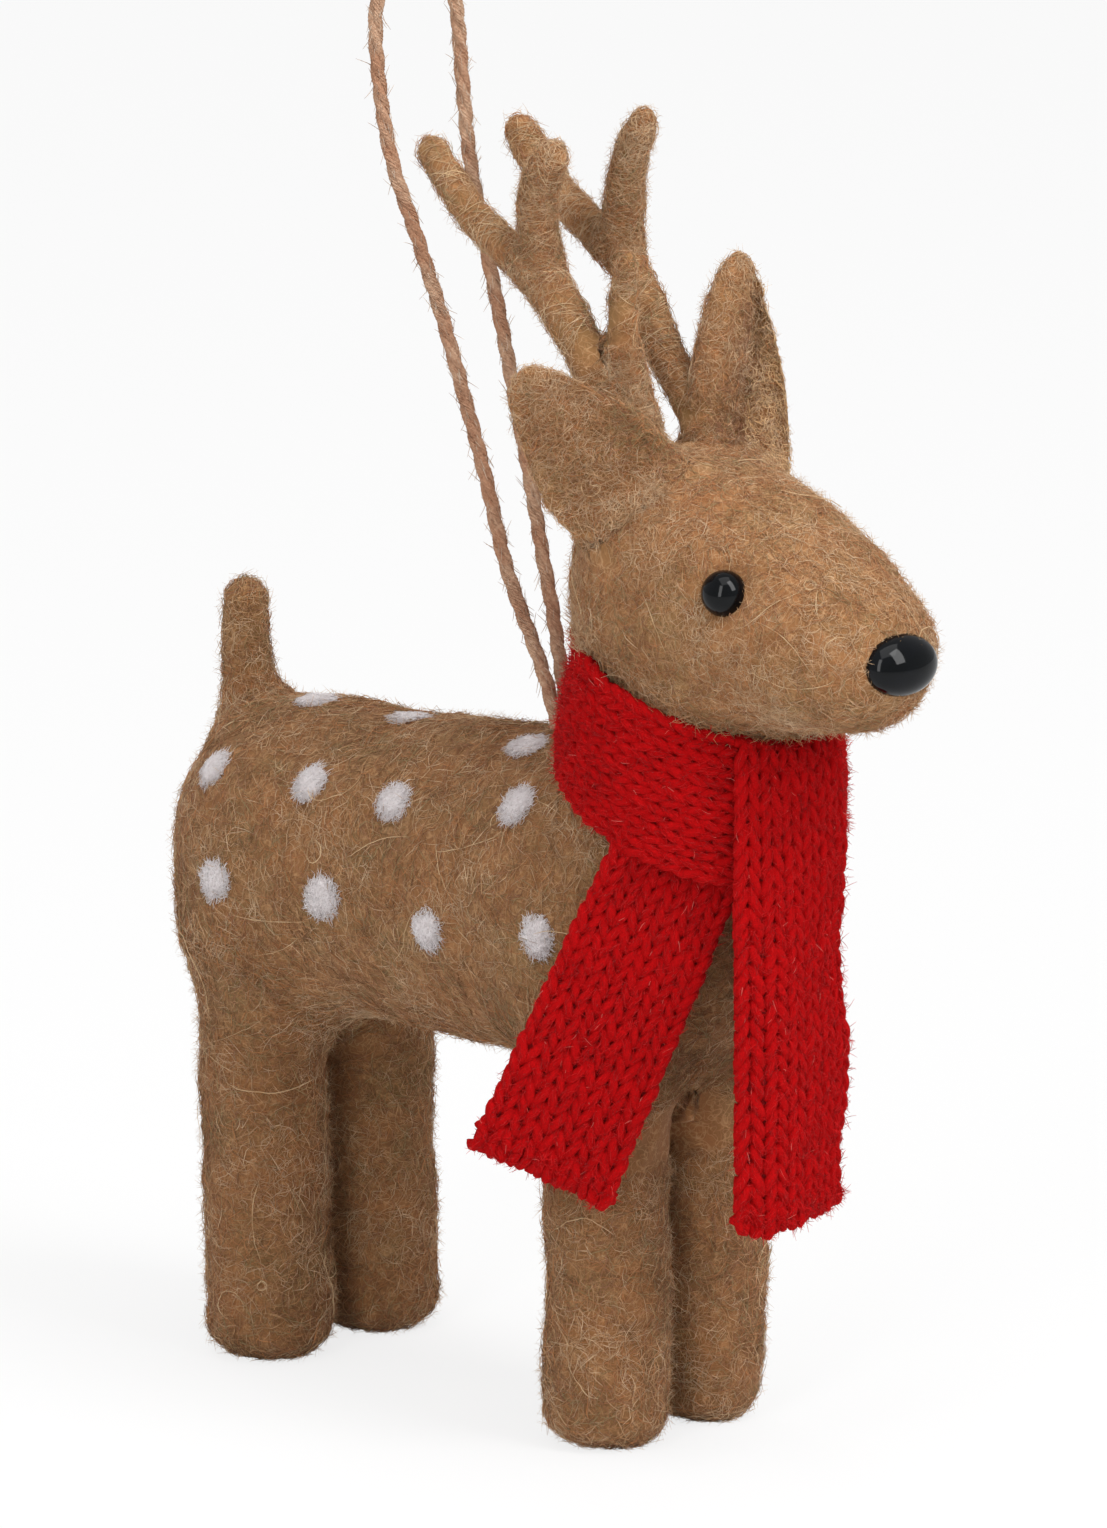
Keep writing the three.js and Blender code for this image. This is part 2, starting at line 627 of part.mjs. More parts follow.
const sideFacing = vector(Math.cos(radians(sideTailTurn)), Math.sin(radians(sideTailTurn)), 0);
const sideDown = vector(0, 0, -1).applyAxisAngle(sideFacing, radians(-sideTailSlant));
const sideAcross = vector().crossVectors(sideDown, sideFacing);
const levelAcross = vector(-sideFacing.y, sideFacing.x, 0);

// The top edge's middle, so far down that its rear end is clear of the wrap's sloping rim
const rimMiddle = neckMiddle.clone().addScaledVector(neckUp, wrapRise - wrapHeight / 2);
const sideTopLevel = sideFacing.clone().multiplyScalar(wrapRadius - sideTailInsideWrap)
  .addScaledVector(levelAcross, -sideTailAside);

function rimHeight(ahead) {
  return rimMiddle.z - ahead * Math.tan(radians(wrapTilt));
}

function sideTopHeight() {
  const halfEdge = sideTailWidthShares.top * scarfWidth / 2;
  const heights = [-halfEdge, halfEdge].map((across) =>
    rimHeight(sideTopLevel.x + sideAcross.x * across) - sideAcross.z * across);
  return Math.min(...heights) - sideTailDropHeight;
}
const sideTop = vector(rimMiddle.x + sideTopLevel.x, sideTopLevel.y, sideTopHeight());

function sideTailPoint(u, v) {
  const width = scarfWidth * THREE.MathUtils.lerp(sideTailWidthShares.top, sideTailWidthShares.end, v);
  const wave = sideTailWaveDepth * Math.sin(v * Math.PI * 2 * sideTailWaves) * Math.cos(u * Math.PI);
  return sideTop.clone()
    .addScaledVector(sideAcross, (u - 0.5) * width)
    .addScaledVector(sideDown, v * sideTailLength)
    .addScaledVector(sideFacing, wave - v * sideTailLength * Math.tan(radians(sideTailInward)));
}

function sideTailPiece() {
  return piece('scarf_side_tail', cloth(sideTailPoint, 6, 10), colours.knit);
}

// Hanging loop
function cordPieces() {
  const section = new THREE.Shape();
  section.absarc(0, 0, cordRadius, 0, Math.PI * 2);
  const route = new THREE.CatmullRomCurve3(cordRoute.map((point) => vector(...point)));
  const tube = new THREE.ExtrudeGeometry(section, { steps: cordSteps, extrudePath: route, curveSegments: 4 });
  return [
    piece('hanging_cord', solidOf(tube), colours.jute),
    piece('cord_knot', knotSolid(), colours.jute),
  ];
}

const reindeer = new THREE.Group();
reindeer.add(
  torsoPiece(), neckPiece(), headPiece(), ...legPieces(), tailPiece(),
  earPiece('right'), earPiece('left'), ...antlers.flatMap((antler) => antler.pieces()),
  piece('eye_right', eyeSolid('right'), colours.bead), piece('eye_left', eyeSolid('left'), colours.bead),
  piece('nose', noseSolid(), colours.bead),
  wrapPiece(), frontTailPiece(), sideTailPiece(),
  ...spots.map(({ name, place, angle }) => piece(name, spotSolid(place, angle), colours.whiteWool)),
);

// The origin is under the middle of the whole object, its hanging loop left out.
const middle = new THREE.Box3().setFromObject(reindeer).getCenter(vector());
reindeer.add(...cordPieces());
reindeer.position.set(-middle.x, -middle.y, 0);

export default reindeer;
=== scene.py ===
# A needle-felted reindeer with a knitted scarf, which hangs by a loop of jute twine.
# Its shapes are worked out in millimetres, ahead along +X and its left side along +Y,
# and turned into metres in the frame's place when each mesh is made.
import math
import time

import bpy
import numpy as np
from mathutils import Matrix, Vector, noise
from mathutils.bvhtree import BVHTree


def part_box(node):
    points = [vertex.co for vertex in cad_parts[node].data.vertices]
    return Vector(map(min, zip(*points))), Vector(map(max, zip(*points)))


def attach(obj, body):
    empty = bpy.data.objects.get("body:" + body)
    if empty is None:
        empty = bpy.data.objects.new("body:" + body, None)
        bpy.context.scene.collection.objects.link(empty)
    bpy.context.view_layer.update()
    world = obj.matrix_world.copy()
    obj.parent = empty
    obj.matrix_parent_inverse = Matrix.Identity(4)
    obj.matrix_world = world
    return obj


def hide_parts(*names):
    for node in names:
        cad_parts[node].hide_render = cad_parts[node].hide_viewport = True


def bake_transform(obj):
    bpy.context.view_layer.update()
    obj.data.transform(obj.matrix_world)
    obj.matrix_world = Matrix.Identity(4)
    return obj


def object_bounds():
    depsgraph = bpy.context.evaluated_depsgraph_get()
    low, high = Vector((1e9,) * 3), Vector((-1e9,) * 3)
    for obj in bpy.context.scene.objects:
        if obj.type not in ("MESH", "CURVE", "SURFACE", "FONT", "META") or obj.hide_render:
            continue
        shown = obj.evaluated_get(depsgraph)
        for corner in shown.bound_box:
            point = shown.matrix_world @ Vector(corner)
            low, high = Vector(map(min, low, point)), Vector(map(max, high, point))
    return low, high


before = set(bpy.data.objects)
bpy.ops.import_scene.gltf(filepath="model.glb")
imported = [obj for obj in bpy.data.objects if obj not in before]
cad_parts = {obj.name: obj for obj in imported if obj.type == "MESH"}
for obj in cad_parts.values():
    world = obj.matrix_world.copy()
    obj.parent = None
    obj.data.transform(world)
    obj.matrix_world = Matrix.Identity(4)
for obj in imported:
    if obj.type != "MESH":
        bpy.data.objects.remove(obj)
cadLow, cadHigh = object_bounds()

began = time.time()
millimetre = 0.001


def report(stage):
    print(f"{time.time() - began:6.1f} s  {stage}")


def dice(name):
    return np.random.default_rng(sum(ord(letter) * (i + 1) for i, letter in enumerate(name)))


def unit(vectors):
    return vectors / np.maximum(np.linalg.norm(vectors, axis=-1, keepdims=True), 1e-9)


def eased(low, high, values):
    share = np.clip((values - low) / (high - low), 0, 1)
    return share * share * (3 - 2 * share)


def blended(first, second, share):
    return first + (second - first) * share


def evenTurns(count):
    return np.arange(count) / count * 2 * math.pi


def circling(first, second, turns):
    # the way out at each turn, from the first direction round to the second
    turns = np.asarray(turns)[..., None]
    return first * np.cos(turns) + second * np.sin(turns)


# The drawing's own origin lies under the middle of the legs
bodySizes = {"length": 81.4, "halfWidth": 15.6, "halfHeight": 16.3, "middle": 53.8, "rise": 3, "rump": -42.2,
             "dome": 18}
torsoLow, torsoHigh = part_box("torso")
torsoMiddle = (torsoLow.y + torsoHigh.y) / 2
origin = np.array([torsoLow.x / millimetre - bodySizes["rump"], torsoMiddle / millimetre, 0])


def placed(points):
    return (np.asarray(points, float) + origin) * millimetre


# Camera, floor and light
shot = {"azimuth": 45.49, "elevation": 14.68, "distance": 4.414, "tall": 0.159985, "right": 6.375,
        "up": 64.776, "clip": 50}


def setCamera():
    a, e = math.radians(shot["azimuth"]), math.radians(shot["elevation"])
    right = Vector((math.cos(a), math.sin(a), 0))
    up = Vector((-math.sin(a) * math.sin(e), math.cos(a) * math.sin(e), math.cos(e)))
    back = right.cross(up)
    target = Vector(placed([0, 0, 0])) + (right * shot["right"] + up * shot["up"]) * millimetre
    data = bpy.data.cameras.new("camera")
    data.lens = data.sensor_width * shot["distance"] / shot["tall"]
    data.clip_end = shot["clip"]
    camera = bpy.data.objects.new("camera", data)
    bpy.context.scene.collection.objects.link(camera)
    turn = Matrix((right, up, back)).transposed().to_4x4()
    camera.matrix_world = Matrix.Translation(target + back * shot["distance"]) @ turn
    bpy.context.scene.camera = camera


def setLamps():
    # azimuth and elevation seen from the object, distance, width, height, watts
    lamps = {
        "keyBox": (98, 46, 0.9, 0.34, 0.75, 5.5),
        "fillBox": (22, 26, 0.9, 0.22, 0.80, 2.7),
        "topBox": (60, 78, 0.9, 0.70, 0.70, 2.6),
        "rimBox": (250, 35, 1.2, 0.40, 0.80, 1.0),
    }
    middle = (cadLow + cadHigh) / 2
    for name, (azimuth, elevation, distance, wide, tall, watts) in lamps.items():
        a, e = math.radians(azimuth), math.radians(elevation)
        away = Vector((math.sin(a) * math.cos(e), -math.cos(a) * math.cos(e), math.sin(e)))
        data = bpy.data.lights.new(name, "AREA")
        data.shape = "RECTANGLE"
        data.size, data.size_y, data.energy = wide, tall, watts
        lamp = bpy.data.objects.new(name, data)
        bpy.context.scene.collection.objects.link(lamp)
        lamp.location = middle + away * distance
        lamp.rotation_mode = "QUATERNION"
        lamp.rotation_quaternion = away.to_track_quat("Z", "Y")


# Materials: shader maths on wrapped sockets

def colour(code):
    channels = [int(code[i:i + 2], 16) / 255 for i in (1, 3, 5)]
    return (*[c / 12.92 if c <= 0.04045 else ((c + 0.055) / 1.055) ** 2.4 for c in channels], 1)


class Wire:
    def __init__(self, look, socket):
        self.look, self.socket = look, socket

    def maths(self, operation, first, second):
        return self.look.maths(operation, first, second)

    def __add__(self, other):
        return self.maths("ADD", self, other)

    def __sub__(self, other):
        return self.maths("SUBTRACT", self, other)

    def __rsub__(self, other):
        return self.maths("SUBTRACT", other, self)

    def __mul__(self, other):
        return self.maths("MULTIPLY", self, other)

    __radd__, __rmul__ = __add__, __mul__


class Look:
    def __init__(self, name, **plain):
        self.material = bpy.data.materials.new(name)
        self.material.use_nodes = True
        self.tree = self.material.node_tree
        self.shader = self.tree.nodes["Principled BSDF"]
        for socket, value in plain.items():
            self.shader.inputs[socket.replace("_", " ")].default_value = value

    def node(self, kind, settings=None, sockets=None, output=0):
        made = self.tree.nodes.new(kind)
        for key, value in (settings or {}).items():
            setattr(made, key, value)
        for key, value in (sockets or {}).items():
            if isinstance(value, Wire):
                self.tree.links.new(value.socket, made.inputs[key])
            else:
                made.inputs[key].default_value = value
        return Wire(self, made.outputs[output])

    def feed(self, socket, wire):
        self.tree.links.new(wire.socket, self.shader.inputs[socket])

    def place(self):
        return self.node("ShaderNodeTexCoord", output="Object")

    def noise(self, size, detail=2, roughness=0.55, distortion=0, seed=0):
        sockets = {"Vector": self.place(), "W": seed, "Scale": 1 / (size * millimetre), "Detail": detail,
                   "Roughness": roughness, "Distortion": distortion}
        return self.node("ShaderNodeTexNoise", {"noise_dimensions": "4D"}, sockets)

    def threads(self, size, width, seed):
        # the level lines of a noise: long curved threads that cross nowhere within one layer
        level = self.maths("ABSOLUTE", self.noise(size, 1, 0.5, 0.7, seed) - 0.5)
        return self.ramp(level, (0, "#ffffff"), (width, "#000000"))

    def maths(self, operation, first, second=0.0):
        return self.node("ShaderNodeMath", {"operation": operation}, {0: first, 1: second})

    def ramp(self, share, *stops):
        wire = self.node("ShaderNodeValToRGB", None, {0: share})
        elements = wire.socket.node.color_ramp.elements
        while len(elements) < len(stops):
            elements.new(0.5)
        for element, (place, code) in zip(elements, stops):
            element.position, element.color = place, colour(code)
        return wire

    def mix(self, share, first, second, blend="MIX"):
        settings = {"data_type": "RGBA", "blend_type": blend}
        return self.node("ShaderNodeMix", settings, {0: share, 6: first, 7: second}, 2)

    def bump(self, height, depth, strength=1.0):
        sockets = {"Height": height, "Distance": depth * millimetre, "Strength": strength}
        self.feed("Normal", self.node("ShaderNodeBump", None, sockets))


# Meshes

def meshPiece(name, points, faceSets, looks, faceLooks=None, bakeMap=None):
    mesh = bpy.data.meshes.new(name)
    corners = np.concatenate([faces.ravel() for faces in faceSets]).astype(np.int32)
    counts = np.concatenate([np.full(len(faces), faces.shape[1]) for faces in faceSets])
    mesh.vertices.add(len(points))
    mesh.vertices.foreach_set("co", placed(points).astype(np.float32).ravel())
    mesh.loops.add(len(corners))
    mesh.loops.foreach_set("vertex_index", corners)
    mesh.polygons.add(len(counts))
    mesh.polygons.foreach_set("loop_start", np.concatenate([[0], np.cumsum(counts)[:-1]]).astype(np.int32))
    for look in looks:
        mesh.materials.append(look.material)
    if faceLooks is not None:
        mesh.polygons.foreach_set("material_index", np.concatenate(faceLooks).astype(np.int32))
    if bakeMap is not None:
        mesh.uv_layers.new(name="OFBake").data.foreach_set("uv", bakeMap.astype(np.float32).ravel())
    mesh.update(calc_edges=True)
    mesh.polygons.foreach_set("use_smooth", np.full(len(counts), True))
    mesh.validate()
    piece = bpy.data.objects.new(name, mesh)
    bpy.context.scene.collection.objects.link(piece)
    return piece


def settled(piece, body, slot, *nodes):
    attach(piece, body)
    if nodes:
        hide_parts(*nodes)
    return piece


def normalsOf(points, faceSets):
    normals = np.zeros_like(points)
    for faces in faceSets:
        across = points[faces[:, 2]] - points[faces[:, 0]]
        down = points[faces[:, -1]] - points[faces[:, 1]]
        facing = np.cross(across, down)
        for corner in faces.T:
            np.add.at(normals, corner, facing)
    return unit(normals)


def tubes(lines, radii, sides, outward):
    # closed tubes along many lines of equally many points
    along = unit(np.gradient(lines, axis=1))
    side = unit(np.cross(along, outward))
    up = np.cross(side, along)
    rings = circling(side[:, :, None], up[:, :, None], evenTurns(sides))
    points = lines[:, :, None] + rings * np.broadcast_to(radii, lines.shape[:2])[..., None, None]
    index = np.arange(points.size // 3).reshape(points.shape[:3])
    here, there = index[:, :-1], index[:, 1:]
    quads = np.stack([here, there, np.roll(there, -1, 2), np.roll(here, -1, 2)], -1)
    caps = np.concatenate([index[:, 0], index[:, -1, ::-1]])
    return points.reshape(-1, 3), [quads.reshape(-1, 4), caps]


def cellMap(lineCount, steps, sides, lengthways):
    # a bake map with a cell for each line, whose faces share their corners in it. A long line is unrolled
    wide = 1 if lengthways else math.ceil(math.sqrt(lineCount))
    tall = math.ceil(lineCount / wide)
    cell = np.stack([np.arange(lineCount) % wide, np.arange(lineCount) // wide], -1)
    margin = 0.15
    u = np.linspace(margin, 1 - margin, steps + 1)
    v = np.linspace(margin, 1 - margin, sides + lengthways)
    here, there = v[:sides], np.roll(v, -1)[:sides]
    corners = np.empty((steps, sides, 4, 2))
    corners[..., 0] = np.stack([u[:-1], u[1:], u[1:], u[:-1]], -1)[:, None]
    corners[..., 1] = np.stack([here, here, there, there], -1)
    caps = [np.stack([np.full(sides, u[0]), here], -1), np.stack([np.full(sides, u[-1]), here[::-1]], -1)]
    maps = [cell[:, None, None, None] + corners, *[cell[:, None] + cap for cap in caps]]
    return np.concatenate([part.reshape(-1, 2) for part in maps]) / (wide, tall)


def tubePiece(name, lines, radii, sides, outward, looks, tones=None, lengthways=False):
    points, faceSets = tubes(lines, radii, sides, outward)
    steps = lines.shape[1] - 1
    faceLooks = None if tones is None else [np.repeat(tones, steps * sides), tones, tones]
    bakeMap = cellMap(len(lines), steps, sides, lengthways)
    return meshPiece(name, points, faceSets, looks, faceLooks, bakeMap)


# Smooth lines and soft forms

def tabled(shares, size):
    # a size that changes smoothly through evenly spaced shares of its greatest value
    values = np.array(shares, float) * size
    last = len(values) - 1
    places = np.linspace(0, last, 60 * last + 1)
    i = np.minimum(places.astype(int), last - 1)
    f = places - i
    before, after = values[np.maximum(i - 1, 0)], values[np.minimum(i + 2, last)]
    start, end = values[i], values[i + 1]
    third = 3 * (start - end) + after - before
    second = 2 * before - 5 * start + 4 * end - after
    curve = start + 0.5 * f * (end - before + f * (second + f * third))
    return lambda place: np.interp(place, places / last, curve)


class SmoothLine:
    def __init__(self, path, steps=40):
        path = np.array(path, float)
        ends = np.vstack([2 * path[0] - path[1], path, 2 * path[-1] - path[-2]])
        gaps = np.sqrt(np.linalg.norm(np.diff(ends, axis=0), axis=1))[:, None]
        f = np.linspace(0, 1, steps, endpoint=False)[:, None]
        parts = []
        for i in range(1, len(ends) - 2):
            a, b, c, d = ends[i - 1:i + 3]
            p, q, r = gaps[i - 1:i + 2]
            leaving = ((b - a) / p - (c - a) / (p + q) + (c - b) / q) * q
            arriving = ((c - b) / q - (d - b) / (q + r) + (d - c) / r) * q
            parts.append((2 * f ** 3 - 3 * f ** 2 + 1) * b + (f ** 3 - 2 * f ** 2 + f) * leaving
                         + (3 * f ** 2 - 2 * f ** 3) * c + (f ** 3 - f ** 2) * arriving)
        self.points = np.vstack([*parts, path[-1:]])
        reach = np.concatenate([[0], np.cumsum(np.linalg.norm(np.diff(self.points, axis=0), axis=1))])
        self.length = reach[-1]
        self.shares = reach / self.length
        self.tangents = unit(np.gradient(self.points, self.shares, axis=0))

    def at(self, place):
        return np.stack([np.interp(place, self.shares, column) for column in self.points.T], -1)

    def tangent(self, place):
        return unit(np.stack([np.interp(place, self.shares, column) for column in self.tangents.T], -1))


def closedRings(start, rings, end):
    # a closed form from rings of points between two poles
    sides = rings.shape[1]
    points = np.vstack([start, rings.reshape(-1, 3), end])
    index = 1 + np.arange(len(points) - 2).reshape(-1, sides)
    after = np.roll(index, -1, 1)
    quads = np.stack([index[:-1], after[:-1], after[1:], index[1:]], -1).reshape(-1, 4)
    first = np.stack([np.zeros(sides, int), after[0], index[0]], -1)
    last = np.stack([index[-1], after[-1], np.full(sides, len(points) - 1)], -1)
    return points, [quads, np.concatenate([first, last])]


def turnedOver(faceSets):
    return [np.roll(faces[:, ::-1], 1, 1) for faces in faceSets]


class SoftForm:
    # oval sections strung along a smooth line, with domed ends. Angles go round from the side over the top
    def __init__(self, path, halfWidth, across, startDome, endDome=None, halfHeight=None, up=None,
                 sideways=(0, 1, 0)):
        self.line = SmoothLine(path)
        self.across = tabled(across, halfWidth)
        self.up = tabled(up or across, halfHeight or halfWidth)
        self.widest = max(halfWidth * max(across), (halfHeight or halfWidth) * max(up or across))
        self.startDome = startDome / self.line.length
        self.endDome = (endDome or startDome) / self.line.length
        self.sideways = np.array(sideways, float)

    def axes(self, place):
        tangent = self.line.tangent(place)
        side = unit(self.sideways - tangent * (tangent @ self.sideways)[..., None])
        return tangent, side, np.cross(tangent, side)

    def section(self, place, angle):
        return np.cos(angle), np.sin(angle)

    def point(self, place, angle):
        place, angle = np.broadcast_arrays(np.asarray(place, float), np.asarray(angle, float))
        _, side, top = self.axes(place)
        depth = np.maximum(0, np.maximum(1 - place / self.startDome, 1 - (1 - place) / self.endDome))
        full = np.sqrt(1 - depth ** 2)
        x, y = self.section(place, angle)
        return (self.line.at(place) + side * (self.across(place) * full * x)[..., None]
                + top * (self.up(place) * full * y)[..., None])

    def outward(self, place, angle):
        step = 0.01
        lengthways = self.point(place + step, angle) - self.point(place - step, angle)
        roundIt = self.point(place, angle + step) - self.point(place, angle - step)
        return unit(np.cross(roundIt, lengthways))

    def mesh(self, spacing):
        sides = math.ceil(2 * math.pi * self.widest / spacing)
        quarter = math.pi / 2
        domes = [max(4, math.ceil(quarter * share * self.line.length / spacing))
                 for share in (self.startDome, self.endDome)]
        opening, closing = (1 - np.cos(np.arange(steps) / steps * quarter) for steps in domes)
        full = 1 - self.startDome - self.endDome
        middle = max(2, math.ceil(full * self.line.length / spacing))
        places = np.concatenate([
            self.startDome * opening, self.startDome + full * np.linspace(0, 1, middle + 1),
            1 - self.endDome * closing[::-1]])
        rings = self.point(places[1:-1, None], evenTurns(sides)[None])
        return closedRings(self.line.at(places[:1]), rings, self.line.at(places[-1:]))


def treeOf(points, faceSets):
    return BVHTree.FromPolygons(points.tolist(), [face for faces in faceSets for face in faces.tolist()])


def nearestOn(tree, points):
    spots, normals = np.empty_like(points), np.empty_like(points)
    for i, point in enumerate(points.tolist()):
        spots[i], normals[i], _, _ = tree.find_nearest(point)
    return spots, normals


def distanceTo(tree, points):
    # how far outside a closed form each point lies, and the way straight out
    spots, normals = nearestOn(tree, points)
    offsets = points - spots
    gaps = np.linalg.norm(offsets, axis=1)
    signs = np.where((offsets * normals).sum(1) < 0, -1, 1)
    away = np.where(gaps[:, None] > 1e-3, offsets * (signs / np.maximum(gaps, 1e-9))[:, None], normals)
    return signs * gaps, away


# Felt

feltTones = {
    "feltPale": ("#c4a27d", "#d8bb9a"),
    "feltTan": ("#b48a62", "#c69d74"),
    "feltOrange": ("#b0774e", "#be8456"),
    "feltBrown": ("#96694a", "#a5775a"),
    "feltOlive": ("#94805a", "#a08c66"),
    "feltDark": ("#7c583a", "#8a6747"),
}


def feltLook(name, pale, deep):
    # mottled wool under a mat of threads, each layer of its own size
    look = Look(name, Roughness=0.95, Sheen_Weight=0.08, Sheen_Roughness=0.6, Specular_IOR_Level=0.08)
    patches = look.noise(8, 3)
    ground = look.ramp(patches, (0.32, deep[0]), (0.5, deep[1]), (0.68, deep[2]))
    grain = look.ramp(look.noise(0.5, 4, 0.7, 1.6), (0.3, pale[0]), (0.7, pale[1]))
    shade = look.mix(0.5, ground, grain)
    height = look.noise(0.4, 3, 0.65, 1.6)
    mat = ((1.9, 0.02, 1, 3), (1.5, 0.024, 5, 2), (1.7, 0.021, 9, 2), (1.2, 0.027, 13, 3))
    for size, width, seed, tone in mat:
        lines = look.threads(size, width, seed)
        shade = look.mix(lines * 0.5, shade, colour(pale[tone]))
        height = height + lines * 0.3
    look.feed("Base Color", shade)
    look.bump(height, 0.1, 0.6)
    return look


def fibreLook(name, dark, light):
    look = Look(name, Roughness=0.9, Sheen_Weight=0.05, Specular_IOR_Level=0.12)
    look.feed("Base Color", look.ramp(look.noise(2.5, 2), (0.35, dark), (0.65, light)))
    return look


def bodyForm():
    b = bodySizes
    line = [(0, -0.2), (0.33, -0.1), (0.6, 0.4), (1, 0.75)]
    path = [(b["rump"] + along * b["length"], 0, b["middle"] + up * b["rise"]) for along, up in line]
    return SoftForm(path, b["halfWidth"], [0.97, 1, 0.97, 1, 0.94], b["dome"], None, b["halfHeight"],
                    [1, 0.985, 1.03, 1.07, 1.02])


legSizes = {"front": 24.2, "rear": -25.4, "frontWidth": 14.2, "rearWidth": 15.4, "radius": 6.75, "top": 47.8,
            "rearSlant": 1.4, "dome": 4.2, "sole": 0.9}


def legForm(end, side):
    s = legSizes
    x, y = s[end], side * s[end + "Width"] / 2
    slant = s["rearSlant"] if end == "rear" else 0
    slim = end == "front" and side > 0
    across = [0.78, 0.95, 1.03, 1, 1] if slim else [1, 0.98, 0.97, 0.98, 1]
    up = [0.9, 0.95, 0.98, 1.02, 1.12] if slim else [1.02, 0.99, 0.98, 1.02, 1.12]
    path = [(x, y, -s["sole"]), (x - slant, y, s["top"])]
    return SoftForm(path, s["radius"], across, s["dome"], None, s["radius"], up)


headSizes = {"length": 45.6, "halfWidth": 13, "halfHeight": 14, "back": (16.2, 0, 92.9), "droop": 5.1,
             "dome": 13, "muzzle": 6}
neckMiddle = np.array([31.1, 0, 74.5])
neckUp = np.array([math.sin(math.radians(4)), 0, math.cos(math.radians(4))])


def headForm():
    h = headSizes
    x, y, z = h["back"]
    line = [(0, 0), (0.3, 0.08), (0.62, 0.48), (1, 1)]
    path = [(x + along * h["length"], y, z - down * h["droop"]) for along, down in line]
    return SoftForm(path, h["halfWidth"], [0.86, 0.99, 1, 0.83, 0.56], h["dome"], h["muzzle"],
                    h["halfHeight"], [0.84, 0.98, 0.95, 0.71, 0.46])


neckSizes = {"halfLength": 17, "radius": 11.2, "dome": 5}
tailSizes = {"height": 14.4, "radius": 2.6, "place": 0.09}


def neckForm():
    reach = neckUp * neckSizes["halfLength"]
    return SoftForm([neckMiddle - reach, neckMiddle + reach], neckSizes["radius"], [1, 1], neckSizes["dome"])


def tailForm(body):
    s = tailSizes
    root = body.point(s["place"], math.pi / 2)
    line = [(0.2, -0.33), (-0.06, 0), (-0.15, 0.5), (-0.14, 1)]
    path = [root + np.array([ahead, 0, up]) * s["height"] for ahead, up in line]
    return SoftForm(path, s["radius"], [1.7, 1.4, 1.12, 1, 1, 0.92], s["radius"])


earSizes = {
    "both": {"place": 0.27, "angle": 44, "sink": 2.5, "back": 11, "dome": 3, "halfDepth": 2.5},
    "left": {"length": 22.4, "halfWidth": 6.3, "lean": 9, "turn": 12, "fold": (0.65, -1.3, 1.5)},
    "right": {"length": 20, "halfWidth": 7.3, "lean": 39, "turn": 42, "fold": (2, 0, 0.8)},
}


def mirrored(side, degrees):
    return degrees if side == "left" else 180 - degrees


def seatOn(form, place, degrees, sink):
    # a spot on a form, the spot sunk into it, and the way out of it
    angle = math.radians(degrees)
    outward = form.outward(np.array(place), np.array(angle))
    spot = form.point(place, angle)
    return spot, spot - outward * sink, outward


class EarForm(SoftForm):
    # a felt leaf whose front is pressed back beyond a fold, given by its place at the root, slant and depth
    def section(self, place, angle):
        x, y = np.cos(angle), np.sin(angle)
        root, slant, depth = self.fold
        along = eased(0.02, 0.25, place) * (1 - eased(0.78, 0.98, place))
        pressed = depth * along * eased(-0.22, 0.22, root + slant * place - x) * (1 - x ** 4)
        hollow = 0.5 * depth * along * (1 - x ** 2)
        return x, np.where(y > 0, y - pressed, y - hollow)


def earForm(side, head):
    e = {**earSizes["both"], **earSizes[side]}
    mirror = 1 if side == "left" else -1
    _, root, _ = seatOn(head, e["place"], mirrored(side, e["angle"]), e["sink"])
    lean, back, turn = (math.radians(e[name]) for name in ("lean", "back", "turn"))
    axis = unit(np.array([-math.tan(back), mirror * math.tan(lean), 1]))
    facing = np.array([math.cos(turn), -math.sin(turn), 0])
    length = e["length"] + e["sink"]
    path = [root + axis * share * length for share in (0, 0.35, 0.7, 1)]
    form = EarForm(path, e["halfWidth"], [0.9, 0.96, 0.93, 0.77, 0.52, 0.3], e["dome"], None, e["halfDepth"],
                   [1.1, 1.05, 0.95, 0.8, 0.62, 0.42], unit(np.cross(facing, axis)))
    form.fold = e["fold"]
    return form


antlerSizes = {"height": 33, "radius": 2.15, "place": 0.235, "angle": 70, "sink": 2.5}
beamEnd = [(-0.73, 0.064, 0.682), (-0.845, 0.067, 0.788), (-0.936, 0.067, 0.9)]
beamLines = {
    "right": [(0, 0, 0), (-0.245, 0.04, 0.318), (-0.41, 0.058, 0.52), (-0.548, 0.061, 0.582), *beamEnd],
    "left": [(0, 0, 0), (-0.272, 0.04, 0.318), (-0.437, 0.058, 0.52), (-0.558, 0.061, 0.582), *beamEnd],
}
upperTineLines = {
    "right": [(-0.415, 0.058, 0.527), (-0.424, 0.067, 0.724), (-0.402, 0.07, 0.85), (-0.33, 0.076, 0.985)],
    "left": [(-0.442, 0.058, 0.527), (-0.438, 0.062, 0.724), (-0.406, 0.06, 0.873), (-0.325, 0.06, 1.024)],
}
browTineLine = [(-0.045, 0, 0.03), (-0.078, 0, 0.17), (-0.113, 0.006, 0.442), (-0.073, 0.018, 0.676)]


